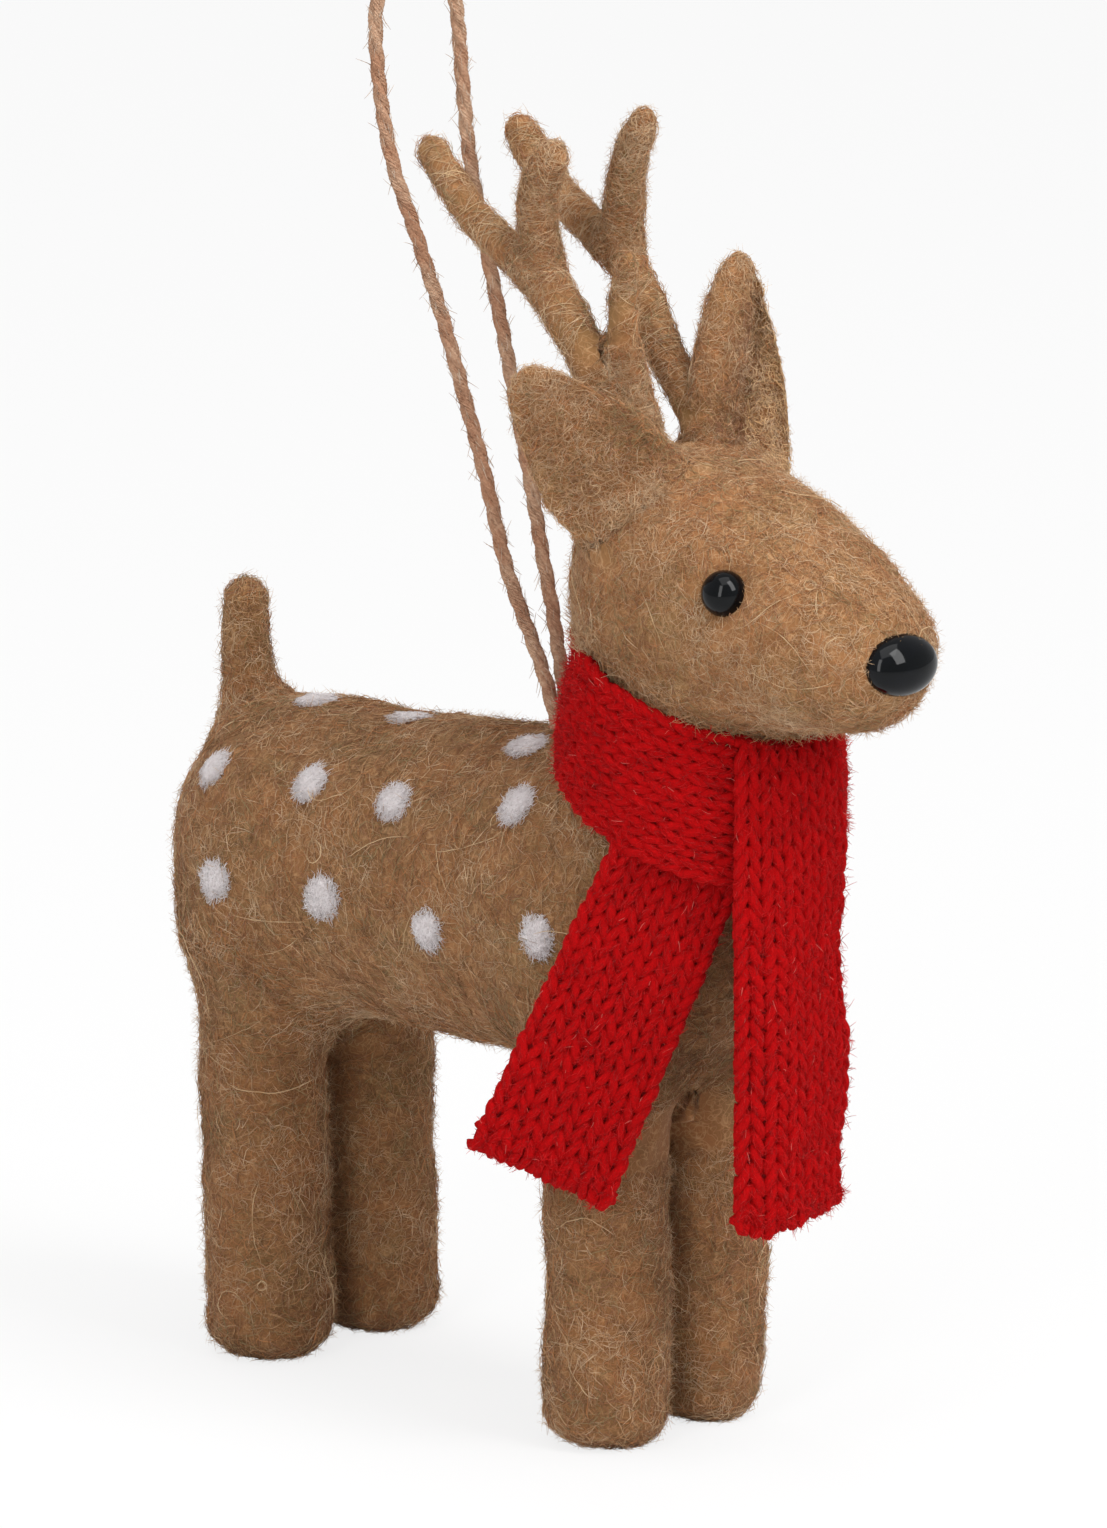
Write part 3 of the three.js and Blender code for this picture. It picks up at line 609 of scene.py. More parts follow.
def antlerForms(side, head):
    s = antlerSizes
    mirror = 1 if side == "left" else -1
    root, start, _ = seatOn(head, s["place"], mirrored(side, s["angle"]), s["sink"])
    stout = [1.25, 1.28, 1.22, 1.02, 0.93, 0.85]
    blunt = [1.05, 1.02, 1, 0.97, 0.92, 0.85]
    pointed = [1.05, 1.02, 0.97, 0.87, 0.72, 0.54]

    def limb(line, across, *first):
        path = [root + np.array([ahead, out * mirror, up]) * s["height"] for ahead, out, up in line]
        return SoftForm([*first, *path], s["radius"], across, s["radius"])

    beam, tine = (blunt, pointed) if side == "left" else (stout, blunt)
    forms = {f"antler_beam_{side}": limb(beamLines[side], beam, start),
             f"antler_upper_tine_{side}": limb(upperTineLines[side], tine)}
    if side == "right":
        forms["antler_brow_tine_right"] = limb(browTineLine, pointed)
    return forms


def merged(shapes, seams):
    # where two forms meet, each follows one smooth surface over both, so that no sharp crease is left
    trees = {name: treeOf(*shape) for name, shape in shapes.items()}
    done = {}
    for name, (points, faceSets) in shapes.items():
        others = [(b if a == name else a, reach) for (a, b), reach in seams.items() if name in (a, b)]
        moved = points.copy()
        nearest = np.full(len(points), np.inf)
        for other, reach in others:
            low, high = shapes[other][0].min(0) - reach, shapes[other][0].max(0) + reach
            close = np.flatnonzero(((points > low) & (points < high)).all(1))
            nearest[close] = np.minimum(nearest[close], distanceTo(trees[other], points[close])[0] / reach)
        near = np.flatnonzero((nearest < 1) & (nearest > -0.5))
        place = points[near].copy()
        for _ in range(3):
            field, slope = distanceTo(trees[name], place)
            for other, reach in others:
                gap, away = distanceTo(trees[other], place)
                mixing = np.clip(1 - np.abs(field - gap) / reach, 0, 1)
                share = np.where(field < gap, 1 - mixing / 2, mixing / 2)[:, None]
                field = np.minimum(field, gap) - mixing ** 2 * reach / 4
                slope = slope * share + away * (1 - share)
            steepness = np.maximum((slope ** 2).sum(1), 0.3)
            place -= slope * (field / steepness)[:, None]
        moved[near] += (place - points[near]) * eased(-0.5, 0, nearest[near])[:, None]
        done[name] = (moved, faceSets)
    return done


def roughened(name, points, faceSets, lump, grain, inset):
    # felt isn't even: broad lumps and small ones, each as (depth, size). Its fibres need room over it
    normals = normalsOf(points, faceSets)
    seed = Vector((len(name), ord(name[-1]), 0))
    heights = [sum(depth * noise.noise(Vector(point) / size + seed) for depth, size in (lump, grain))
               for point in points.tolist()]
    return points + normals * (np.array(heights) - inset)[:, None]


def scattered(points, faceSets, count, rolls):
    fans = [faces[:, [0, i, i + 1]] for faces in faceSets for i in range(1, faces.shape[1] - 1)]
    a, b, c = (points[corner] for corner in np.concatenate(fans).T)
    facing = np.cross(b - a, c - a)
    areas = np.linalg.norm(facing, axis=1)
    picks = rolls.choice(len(areas), count, p=areas / areas.sum())
    r, s = np.sqrt(rolls.random(count))[:, None], rolls.random(count)[:, None]
    roots = a[picks] * (1 - r) + b[picks] * (r * (1 - s)) + c[picks] * (r * s)
    return roots, unit(facing[picks])


def turnedAbout(vectors, axes, angles):
    c, s = np.cos(angles)[:, None], np.sin(angles)[:, None]
    return vectors * c + np.cross(axes, vectors) * s + axes * (vectors * axes).sum(1, keepdims=True) * (1 - c)


def laid(onto, roots, normals, length, steps, curl, rolls, grain=None, grainPull=0):
    # lines that start at the roots and creep over a surface, each curling at its own rate
    heading = np.cross(normals, rolls.normal(size=roots.shape))
    if grain is not None:
        ways = rolls.choice([-1, 1], len(roots))[:, None]
        heading = unit(heading) + grain(roots, normals) * grainPull * ways
    heading = unit(heading)
    bends = rolls.normal(size=len(roots)) * curl / steps
    stride = (length * rolls.uniform(0.6, 1.4, len(roots)) / steps)[:, None]
    lines, facings = [roots], [normals]
    for _ in range(steps):
        heading = turnedAbout(heading, normals, bends + rolls.normal(size=len(roots)) * curl * 0.35 / steps)
        spots, normals = onto(lines[-1] + heading * stride)
        heading = unit(heading - normals * (heading * normals).sum(1, keepdims=True))
        lines.append(spots)
        facings.append(normals)
    return np.stack(lines, 1), np.stack(facings, 1)


def lifted(lines, facings, lift, loose, rolls):
    # fibres lie close, and a few let go at one end
    count, steps = lines.shape[:2]
    share = np.linspace(0, 1, steps)[None]
    arch = np.sin(share * math.pi) * rolls.uniform(0.2, 1, (count, 1)) * lift
    free = (rolls.random((count, 1)) < loose[0]) * share ** 2 * rolls.uniform(0.3, 1, (count, 1)) * loose[1]
    return lines + facings * (arch + free + rolls.uniform(-0.02, 0.06, (count, 1)))[..., None]


toneWaves = np.array([[0.31, 0.13, 0.27], [-0.22, 0.47, 0.21], [0.53, -0.34, -0.49], [0.2, 0.7, 0.58]])
tonePhases = np.array([0, 2.1, 4.0, 1.2])
toneDepth = 0.45
# the farthest step that a fibre may leap, in its own steps, and its least height over the floor
coatLimits = {"leap": 2.6, "height": 0.05}


def coat(name, under, count, length, tones, seed, keep=None, onto=None, radius=0.034, steps=3, curl=2.4,
         lift=0.3, loose=(0.3, 0.6), grain=None, grainPull=0):
    rolls = dice(seed)
    roots, normals = scattered(*shapes[under], count, rolls)
    kept = (keep or outsideOthers(under))(roots)
    roots, normals = roots[kept], normals[kept]
    onto = onto or outerSkin(under)
    lines, facings = laid(onto, roots, normals, length, steps, curl, rolls, grain, grainPull)
    # a fibre that leaps over a seam isn't kept
    leaps = np.linalg.norm(np.diff(lines, axis=1), axis=2).max(1) * steps / length
    even = leaps < coatLimits["leap"]
    lines, facings = lines[even], facings[even]
    lines = lifted(lines, facings, lift, loose, rolls)
    lines[..., 2] = np.maximum(lines[..., 2], max(coatLimits["height"], radius * 1.3))
    taper = np.interp(np.linspace(0, 1, steps + 1), [0, 0.2, 0.8, 1], [0.5, 1, 1, 0.35])
    radii = radius * rolls.uniform(0.6, 1.25, (len(lines), 1)) * taper
    # tones gather in patches, as in felt that is carded by hand
    looks, shares = list(tones), np.cumsum(list(tones.values()))
    patch = np.sin(lines[:, 0] @ toneWaves.T + tonePhases).sum(1) * toneDepth + rolls.normal(size=len(lines))
    ranks = np.argsort(np.argsort(patch)) / max(1, len(lines))
    picked = np.searchsorted(shares[:-1] / shares[-1], ranks)
    piece = tubePiece(name, lines, radii, 3, facings, [fibreLooks[look] for look in looks], picked)
    settled(piece, "figure", "felt")


setCamera()
setLamps()
report("camera and lamps")

floorLook = Look("floorPaper", Roughness=0.9, Base_Color=colour("#ececec"))
glow = floorLook.node("ShaderNodeEmission", None, {"Color": (1, 1, 1, 1), "Strength": 1.0})
rays = [floorLook.node("ShaderNodeLightPath", output=kind) for kind in ("Is Camera Ray", "Is Glossy Ray")]
seen = floorLook.maths("MAXIMUM", *rays) * 0.8
lit = Wire(floorLook, floorLook.shader.outputs[0])
shown = floorLook.node("ShaderNodeMixShader", None, {0: seen, 1: lit, 2: glow})
floorLook.tree.links.new(shown.socket, floorLook.tree.nodes["Material Output"].inputs["Surface"])
floorHalf = 6000
floorCorners = np.array([(-1, -1, 0), (1, -1, 0), (1, 1, 0), (-1, 1, 0)]) * floorHalf
meshPiece("floor", floorCorners, [np.array([[0, 1, 2, 3]])], [floorLook])

world = bpy.data.worlds.new("studio")
bpy.context.scene.world = world
world.use_nodes = True
skyNodes, skyLinks = world.node_tree.nodes, world.node_tree.links
skyLit, skyShown = skyNodes["Background"], skyNodes.new("ShaderNodeBackground")
skyRays, skyMix = skyNodes.new("ShaderNodeLightPath"), skyNodes.new("ShaderNodeMixShader")
for sky, strength in ((skyLit, 0.5), (skyShown, 1.0)):
    sky.inputs["Color"].default_value = (1, 1, 1, 1)
    sky.inputs["Strength"].default_value = strength
for i, output in enumerate((skyRays.outputs["Is Camera Ray"], skyLit.outputs[0], skyShown.outputs[0])):
    skyLinks.new(output, skyMix.inputs[i])
skyLinks.new(skyMix.outputs[0], skyNodes["World Output"].inputs["Surface"])
bpy.context.scene.view_settings.view_transform = "Standard"

# Hanging loop: three-ply jute twine, whose ends meet in a knot inside the back
cordSizes = {"radius": 0.83, "plies": 3, "plyRadius": 0.42, "plyOffset": 0.34, "turnLength": 8.6,
             "strands": 7, "strandRadius": 0.12, "strandTurn": 4.4, "strandSink": 0.03, "hairs": 900,
             "knotShare": 0.8}
cordRoute = [
    (10.9, -1.1, 73.0), (9.3, -1.3, 77.9), (7.6, -1.6, 81.9), (5.7, -1.9, 85.9), (4.1, -2.2, 90.0),
    (2.0, -2.8, 98.3), (-0.6, -3.3, 106.5), (-3.4, -3.8, 114.7), (-6.8, -4.1, 122.7), (-10.5, -4.3, 130.7),
    (-12.3, -4.4, 138.9), (-12.8, -4.3, 146.5), (-12.5, -3.2, 150.3), (-11.6, 0, 152.2), (-10.6, 3.2, 150.3),
    (-9.9, 4.3, 146.5), (-8.9, 4.4, 138.0), (-7.7, 4.35, 129.6), (-5.4, 4.25, 121.4), (-2.8, 4.0, 113.4),
    (-0.1, 3.5, 105.4), (2.6, 3.0, 97.4), (5.2, 2.4, 89.3), (6.7, 2.0, 85.4), (7.9, 1.7, 81.4),
    (10.2, 1.1, 73.0)]


def juteLook():
    look = Look("jute", Roughness=0.85, Specular_IOR_Level=0.25)
    strands = look.noise(0.5, 5, 0.7, 1.2)
    shade = look.ramp(strands, (0.3, "#90705a"), (0.45, "#b6967f"), (0.6, "#cbb099"), (0.75, "#dcc8b4"))
    tint = look.ramp(look.noise(5, 2), (0.4, "#ecd2c2"), (0.6, "#fff5ec"))
    look.feed("Base Color", look.mix(1.0, shade, tint, "MULTIPLY"))
    look.bump(look.noise(0.3, 4, 0.7, 1), 0.2, 0.8)
    return look


def woundAbout(line, places, lines, facings):
    # thin strands wound round each ply, against the plies' own twist
    s = cordSizes
    reached = places * line.length
    wound, woundFacings = [], []
    for middle, face in zip(lines, facings):
        other = np.cross(line.tangent(places), face)
        for strand in range(s["strands"]):
            spin = (strand / s["strands"] - reached / s["strandTurn"]) * 2 * math.pi
            spin = spin + 0.25 * np.sin(reached * 0.9 + strand)
            away = circling(face, other, spin)
            wound.append(middle + away * (s["plyRadius"] - s["strandSink"]))
            woundFacings.append(away)
    return np.array(wound), np.array(woundFacings)


def twineHairs(middle, along, side, up, rolls):
    hairs = cordSizes["hairs"]
    start = rolls.integers(4, len(middle) - 4, hairs)
    angle = rolls.uniform(0, 2 * math.pi, hairs)
    out = circling(side[start], up[start], angle)
    lean = along[start] * rolls.choice([-1, 1], (hairs, 1)) * 1.6 + out * 0.5
    lean = unit(lean + rolls.normal(size=(hairs, 3)) * 0.4)
    share = np.linspace(0, 1, 5)[None, :, None]
    grow = share * rolls.uniform(0.5, 1.7, (hairs, 1, 1))
    curve = share ** 2 * out[:, None] * rolls.uniform(-0.2, 0.35, (hairs, 1, 1))
    lines = (middle[start] + out * 0.7)[:, None] + lean[:, None] * grow + curve
    facings = np.broadcast_to(out[:, None], lines.shape)
    return tubePiece("hanging_loop_fuzz", lines, np.array([0.04, 0.04, 0.035, 0.03, 0.015]), 3, facings,
                     [fibreLook("juteFibre", "#a98a74", "#d8c4b0")])


def twineKnot(jute):
    # an overhand knot, drawn tight
    t = np.linspace(0, 2 * math.pi, 97)[:-1]
    bend = np.stack([np.sin(t) + 2 * np.sin(2 * t), np.cos(t) - 2 * np.cos(2 * t), -np.sin(3 * t)], -1)
    low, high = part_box("cord_knot")
    middle = np.array((low + high) / 2) / millimetre - origin
    half = (high.x - low.x) / 2 / millimetre
    line = np.vstack([bend, bend[:1]]) * (half - cordSizes["radius"]) / 3 + middle
    knot = tubePiece("twine_knot", line[None], cordSizes["radius"] * cordSizes["knotShare"], 8,
                     unit(line - middle)[None], [jute], lengthways=True)
    settled(knot, "figure", "jute", "cord_knot")


def hangingCord():
    s = cordSizes
    line = SmoothLine(cordRoute)
    places = np.linspace(0, 1, int(line.length / 0.35))
    middle, along = line.at(places), line.tangent(places)
    side = unit(np.cross(along, np.array([1.0, 0.3, 0.1])))
    up = np.cross(side, along)
    rolls = dice("twine")
    wander = tabled(rolls.uniform(-0.5, 0.5, 30), 1)(places)
    turn = places * line.length / s["turnLength"] * 2 * math.pi + wander
    facings = circling(side, up, turn + evenTurns(s["plies"])[:, None])
    lines = middle + facings * s["plyOffset"]
    radii = s["plyRadius"] * np.array([tabled(rolls.uniform(0.86, 1.1, 90), 1)(places) for _ in lines])
    jute = juteLook()
    cord = tubePiece("hanging_loop_twine", lines, radii, 10, facings, [jute], lengthways=True)
    wound, woundFacings = woundAbout(line, places, lines, facings)
    strands = tubePiece("hanging_loop_strands", wound, s["strandRadius"], 5, woundFacings, [jute],
                        lengthways=True)
    fuzz = twineHairs(middle, along, side, up, rolls)
    settled(cord, "hanging_loop", "jute", "hanging_cord")
    settled(strands, "hanging_loop", "jute")
    settled(fuzz, "hanging_loop", "jute")
    twineKnot(jute)
    report(f"twine, {line.length:.1f} mm")


hangingCord()

# Where the scarf's wrap lies, and the jaw that rests on its upper rim
scarfSizes = {
    "width": 15.4, "thickness": 1.5, "wrapRadius": 15.4, "wrapHeight": 14.4, "wrapRise": 1.2, "jawRise": 1.1,
    "backDrop": 2.8, "bulge": 0.5, "flare": 0.7, "tilt": 24, "wrapStart": -150,
    "crossingWidth": 14.4, "crossingTurn": -3, "frontLength": 34, "frontAside": 1.75, "foldDepth": 2.2,
    "foldShare": 0.32, "edgeWave": 0.8, "waveStart": 9.7, "wavePitch": 23.8, "frontLonger": 0.7,
    "frontShorter": 0.5,
    "sideLength": 34, "sideTuck": 6, "sideInside": 2.8, "sideAside": 2.6, "sideDrop": 0.4, "sideLonger": -0.3,
    "sideSkew": 1.1, "sideTurn": -45.5, "sideSlant": 22.6, "sideLean": 3.4,
}
wrapTilt = math.radians(scarfSizes["tilt"])
wrapAhead = np.array([math.cos(wrapTilt), 0, -math.sin(wrapTilt)])
aside = np.array([0, 1.0, 0])
jawTurns = np.linspace(-math.pi, math.pi, 73)
rimRises = np.zeros(len(jawTurns))


def wrapPoint(turn, high, radius):
    s = scarfSizes
    shaped = radius - s["bulge"] * (2 * high) ** 2 - s["flare"] * 2 * high
    gap = np.interp((turn + math.pi) % (2 * math.pi) - math.pi, jawTurns, rimRises)
    rise = s["wrapRise"] + high * s["wrapHeight"] + gap * np.clip(high + 0.5, 0, 1)
    out = circling(wrapAhead, aside, turn)
    return neckMiddle + out * shaped[..., None] + neckUp * rise[..., None]


def jowled(points, faceSets):
    # the wrap's rim rises a little to meet the jaw, and the wool of the jaw swells down for the rest
    start = 4
    radius = scarfSizes["wrapRadius"] - scarfSizes["thickness"] / 2
    rims = wrapPoint(jawTurns, np.full(len(jawTurns), 0.5), radius)
    tree = treeOf(points, faceSets)
    hits = [tree.ray_cast(Vector(rim - neckUp * start), Vector(neckUp))[3] for rim in rims]
    gaps = np.array([start if hit is None else hit for hit in hits]) - start
    # evened out over seven neighbours, all the way round
    padded = np.concatenate([gaps[-4:-1], gaps, gaps[1:4]])
    gaps = np.clip(np.convolve(padded, np.ones(7) / 7, "valid"), 0, start)
    drop = scarfSizes["backDrop"] * eased(1.8, 2.7, np.abs(jawTurns))
    rimRises[:] = np.minimum(gaps, scarfSizes["jawRise"]) - drop
    ahead, beside, _ = np.linalg.solve(np.stack([wrapAhead, aside, neckUp], 1), (points - neckMiddle).T)
    drops = np.interp(np.arctan2(beside, ahead), jawTurns, np.maximum(gaps - scarfSizes["jawRise"], 0))
    near = np.exp(-((np.hypot(ahead, beside) - radius + 1) / 4) ** 2)
    under = eased(-0.1, 0.5, -normalsOf(points, faceSets) @ neckUp)
    return points - neckUp * (drops * near * under)[:, None]


bridgeSizes = {"dip": 0.9, "behind": (12, 6), "above": (1, 6)}


def dippedBridge(points):
    # the bridge of the muzzle dips a little behind the nose
    s = bridgeSizes
    x, _, z = head.line.points[-1]
    ahead = eased(x - s["behind"][0], x - s["behind"][1], points[:, 0])
    over = eased(z + s["above"][0], z + s["above"][1], points[:, 2])
    return points - [0, 0, 1] * (s["dip"] * ahead * over)[:, None]


# The felt pieces
body = bodyForm()
head = headForm()
ends, bothSides = ("front", "rear"), ("right", "left")
forms = {
    "torso": body, "neck": neckForm(), "head": head, "tail": tailForm(body),
    **{f"leg_{end}_{side}": legForm(end, mirror) for end in ends for side, mirror in zip(bothSides, (-1, 1))},
    **{f"ear_{side}": earForm(side, head) for side in bothSides},
    **antlerForms("right", head), **antlerForms("left", head),
}
spacing = {"torso": 0.75, "head": 0.6, "neck": 1.2}
seams = {("torso", "neck"): 6, ("torso", "tail"): 5, ("neck", "head"): 5,
         **{("torso", f"leg_{end}_{side}"): 8 for end in ends for side in bothSides},
         **{("head", f"ear_{side}"): 4 for side in bothSides},
         **{("head", f"antler_beam_{side}"): 2.5 for side in bothSides},
         **{(f"antler_beam_{side}", f"antler_upper_tine_{side}"): 2 for side in bothSides},
         ("head", "antler_brow_tine_right"): 2.5, ("antler_beam_right", "antler_brow_tine_right"): 2}
shapes = {name: form.mesh(spacing.get(name, 0.55)) for name, form in forms.items()}
shapes = merged(shapes, seams)
report("felt forms merged at their seams")

eyeSizes = {"place": 0.61, "left": 20, "right": 154, "radius": 2.45, "sink": 1.0, "socket": 2.9,
            "socketDepth": 1.9}


def eyeSeat(side):
    return seatOn(head, eyeSizes["place"], eyeSizes[side], eyeSizes["sink"])[1:]


def pressedEyes(points, faceSets):
    normals = normalsOf(points, faceSets)
    for side in bothSides:
        middle, _ = eyeSeat(side)
        share = np.exp(-(np.linalg.norm(points - middle, axis=1) / eyeSizes["socket"]) ** 2)
        points = points - normals * (eyeSizes["socketDepth"] * share)[:, None]
    return points


# the legs' felt is a little darker than the torso's: partly its own tone, partly painted shade under the body
feltShades = {
    "torso": ("bodyFelt", ("#71502f", "#8f6742", "#a97c53", "#c39a6f"), ("#836b45", "#8b613d", "#a0683f")),
    "head": ("headFelt", ("#7c5836", "#9a6f47", "#b3855b", "#cba47b"), ("#8e7349", "#986a43", "#b0764b")),
    "leg": ("legFelt", ("#6d4b2e", "#8b633f", "#a5774e", "#bd9369"), ("#7e6843", "#875e3b", "#9c653c")),
}
looks = {kind: feltLook(*shades) for kind, shades in feltShades.items()}
fibreLooks = {name: fibreLook(name, *shades) for name, shades in feltTones.items()}
fibreLooks["feltStray"] = fibreLook("feltStray", "#c4a077", "#e0c49c")
fibreLooks["feltGold"] = fibreLook("feltGold", "#dcb07c", "#f0cfa2")
headPoints, headFaces = shapes["head"]
headPoints = dippedBridge(jowled(headPoints, headFaces))
shapes["head"] = (pressedEyes(headPoints, headFaces), headFaces)
feltRoughness = {"lump": (0.5, 7), "grain": (0.22, 1.3), "inset": 0.22}
kinds = {"torso": "torso", "neck": "torso", "tail": "torso", "leg": "leg"}
trees = {}
for name, (points, faceSets) in shapes.items():
    points = roughened(name, points, faceSets, **feltRoughness)
    points[:, 2] = np.maximum(points[:, 2], 0)
    shapes[name] = (points, faceSets)
    trees[name] = treeOf(points, faceSets)
    kind = kinds.get(name.split("_")[0], "head")
    settled(meshPiece(f"{name}_felt", points, faceSets, [looks[kind]]), "figure", "felt", name)
report("felt meshes")

# White wool spots: their sizes, and angles and places on the body
spotSizes = {"halfWidth": 1.85, "halfLength": 2.35, "height": 0.45, "sink": 0.5, "skin": 0.12, "fibres": 1100,
             "pad": 0.82, "reach": 1.04}
spotRows = {
    "spine": ((93, 92, 107), (0.207, 0.386, 0.646)),
    "upper_right": ((140, 139, 142, 136), (0.146, 0.336, 0.494, 0.708)),
    "lower_right": ((183, 181, 187, 181), (0.202, 0.399, 0.589, 0.792)),
    "upper_left": ((40, 41, 38, 44), (0.146, 0.336, 0.494, 0.708)),
    "lower_left": ((-3, -1, -7, -1), (0.202, 0.399, 0.589, 0.792)),
}


# how far a coat looks for other pieces, may sink into them, and keeps off the eyes and the spots' middles
bareRooms = {"look": 1.5, "sunk": 0.15, "eye": 0.45, "spot": 0.9, "rim": 2.2}


def neighboursOf(name):
    return [b if a == name else a for a, b in seams if name in (a, b)]


def gapsTo(other, points):
    # signed distances to another piece, where they matter
    room = bareRooms["look"]
    low, high = shapes[other][0].min(0) - room, shapes[other][0].max(0) + room
    gaps = np.full(len(points), np.inf)
    close = np.flatnonzero(((points > low) & (points < high)).all(1))
    if len(close):
        gaps[close] = distanceTo(trees[other], points[close])[0]
    return gaps


def outerSkin(name):
    # the nearest spot on the outside of a piece, or of a neighbour that covers it there
    def onto(points):
        spots, normals = nearestOn(trees[name], points)
        for other in neighboursOf(name):
            covered = np.flatnonzero(gapsTo(other, spots) < 0)
            if len(covered):
                spots[covered], normals[covered] = nearestOn(trees[other], points[covered])
        return spots, normals
    return onto


def outsideOthers(name, within=np.inf):
    # keeps roots that lie outside the neighbours, beads and spots; a reach keeps only those beside a seam
    bare = []
    if name == "head":
        bare = [(eyeSeat(side)[0], eyeSizes["radius"] + bareRooms["eye"]) for side in bothSides]
    if name == "torso":
        bare = [(body.point(place, math.radians(angle)), spotSizes["halfWidth"] * bareRooms["spot"])
                for angles, places in spotRows.values() for angle, place in zip(angles, places)]

    def keep(points):
        nearest = np.min([gapsTo(other, points) for other in neighboursOf(name)], axis=0)
        kept = (nearest > -bareRooms["sunk"]) & ((nearest < within) | np.isinf(within))
        for middle, reach in bare:
            kept &= np.linalg.norm(points - middle, axis=1) > reach
        return kept
    return keep


def roundIt(axis):
    # a grain that runs round a limb, as wound wool does
    return lambda roots, normals: unit(np.cross(np.broadcast_to(axis, normals.shape), normals))


bodyTones = {"feltPale": 0.18, "feltTan": 0.25, "feltOrange": 0.17, "feltBrown": 0.21, "feltOlive": 0.1,
             "feltDark": 0.09}
headTones = {"feltPale": 0.2, "feltTan": 0.34, "feltOrange": 0.24, "feltBrown": 0.14, "feltOlive": 0.08}
# the legs' fibres lean to brown and dark: partly their own tone, partly painted shade under the body
legTones = {"feltPale": 0.13, "feltTan": 0.23, "feltOrange": 0.17, "feltBrown": 0.26, "feltOlive": 0.1,
            "feltDark": 0.11}
# fibres, their length and their tones, for each layer
coats = {
    "torso": [(12000, 3.4, bodyTones), (12000, 2.4, bodyTones)], "head": [(13000, 2.4, headTones)],
    "tail": [(1800, 2.2, bodyTones)], "neck": [(1200, 2.6, bodyTones)],
    **{name: [(7000, 3.0, legTones)] for name in shapes if name.startswith("leg")},
    **{name: [(4200, 2.4, headTones)] for name in shapes if name.startswith("ear")},
    **{name: [(1800, 2.4, headTones)] for name in shapes if name.startswith("antler")},
}
seamReach = {"length": 2.4, "within": 1.4}
windings = {"count": 260, "length": 7, "tones": {"feltPale": 0.6, "feltStray": 0.4}, "radius": 0.042,
            "steps": 12, "curl": 0.5, "lift": 0.14, "loose": (0.15, 0.5), "grainPull": 5}
haze = {"length": 1.3, "tones": {"feltPale": 1, "feltTan": 1}, "radius": 0.023, "steps": 2, "curl": 1.2,
        "lift": 0.25, "loose": (0.9, 1.2)}
hazeShare = 0.7
for name, layers in coats.items():
    points = shapes[name][0]
    grain = roundIt(unit(points[-1] - points[0]))
    grained = {"grain": grain, "grainPull": 1.5} if name.startswith(("antler", "tail")) else {}
    for layer, (count, length, tones) in enumerate(layers):
        coat(f"{name}_fibres_{layer + 1}", name, count, length, tones, f"{name}{layer}", **grained)
    count, _, tones = layers[0]
    coat(f"{name}_seam_fibres", name, count, seamReach["length"], tones, f"{name}{len(layers)}",
         outsideOthers(name, seamReach["within"]))
    if name.startswith("antler"):
        coat(f"{name}_windings", name, seed=name + "wound", grain=grain, **windings)
    # short hairs that stand off the felt
    coat(f"{name}_haze", name, int(count * hazeShare), seed=name + "haze", **haze)


def besideRim(points):
    # the wool of the jaw that hangs over the scarf's rim
    rims = wrapPoint(jawTurns, np.full(len(jawTurns), 0.5), scarfSizes["wrapRadius"])
    near = np.linalg.norm(points[:, None] - rims, axis=2).min(1) < bareRooms["rim"]
    return near & outsideOthers("head")(points)


coat("head_fringe", "head", 16000, 2.4, headTones, "fringe", besideRim, radius=0.03, steps=4, lift=0.5,
     loose=(1.0, 1.8))

# The fold of the far ear: painted shade, dark fibres down its middle, and a painted highlight, pale fibres on
# the flap beside it
foldSizes = {"place": 35.6, "slant": 0.132, "middle": 102.5, "bottom": 101, "top": 121, "widening": 0.24,
             "widest": 119}
foldShadeAndHighlight = {"hollow": (-0.4, 1.2, {"feltBrown": 0.6, "feltDark": 0.4}),
             "flap": (1.2, 12, {"feltGold": 0.6, "feltPale": 0.4})}


def besideFold(low, high):
    # keeps roots between two distances from the fold, measured level and straight ahead of it
    s = foldSizes

    def keep(points):
        x, y, z = points.T
        beyond = x + y - s["place"] - s["slant"] * (z - s["middle"])
        wider = s["widening"] * (s["widest"] - z) if low < 0 else 0
        return (beyond > low - wider) & (beyond < high) & (z > s["bottom"]) & (z < s["top"])
    return keep


# the hollow's dark fibres are painted shade, and the flap's pale ones are a painted highlight
for part, (low, high, tones) in foldShadeAndHighlight.items():
    coat(f"ear_left_{part}", "ear_left", 6400, 1.8, tones, part, besideFold(low, high),
         lambda points: nearestOn(trees["ear_left"], points), radius=0.036, lift=0.35)
report("felt fibres")

# Long stray hairs, some curled into loops
strays = {"torso": 84, "head": 34, "leg_front_right": 18, "leg_rear_right": 20, "leg_front_left": 8,
          "leg_rear_left": 8, "ear_right": 4, "ear_left": 4}
for name, count in strays.items():
    for kind, share, length, curl in (("hairs", 0.7, 9, 1.6), ("curls", 0.3, 7, 6.5)):
        coat(f"{name}_{kind}", name, max(2, int(count * share)), length, {"feltStray": 1}, name + kind,
             radius=0.05, steps=14, curl=curl, lift=0.35, loose=(0.4, 1.0))
report("stray hairs")


# White wool spots, needled into the body

def woolLook():
    look = Look("whiteWool", Roughness=0.95, Sheen_Weight=0.3, Specular_IOR_Level=0.1)
    shade = look.ramp(look.noise(0.5, 4, 0.7, 1.2), (0.3, "#d8cecd"), (0.5, "#e8e0e0"), (0.7, "#f3eeef"))
    look.feed("Base Color", shade)
    look.bump(look.noise(0.3, 3, 0.6, 1.5), 0.05, 0.4)
    return look


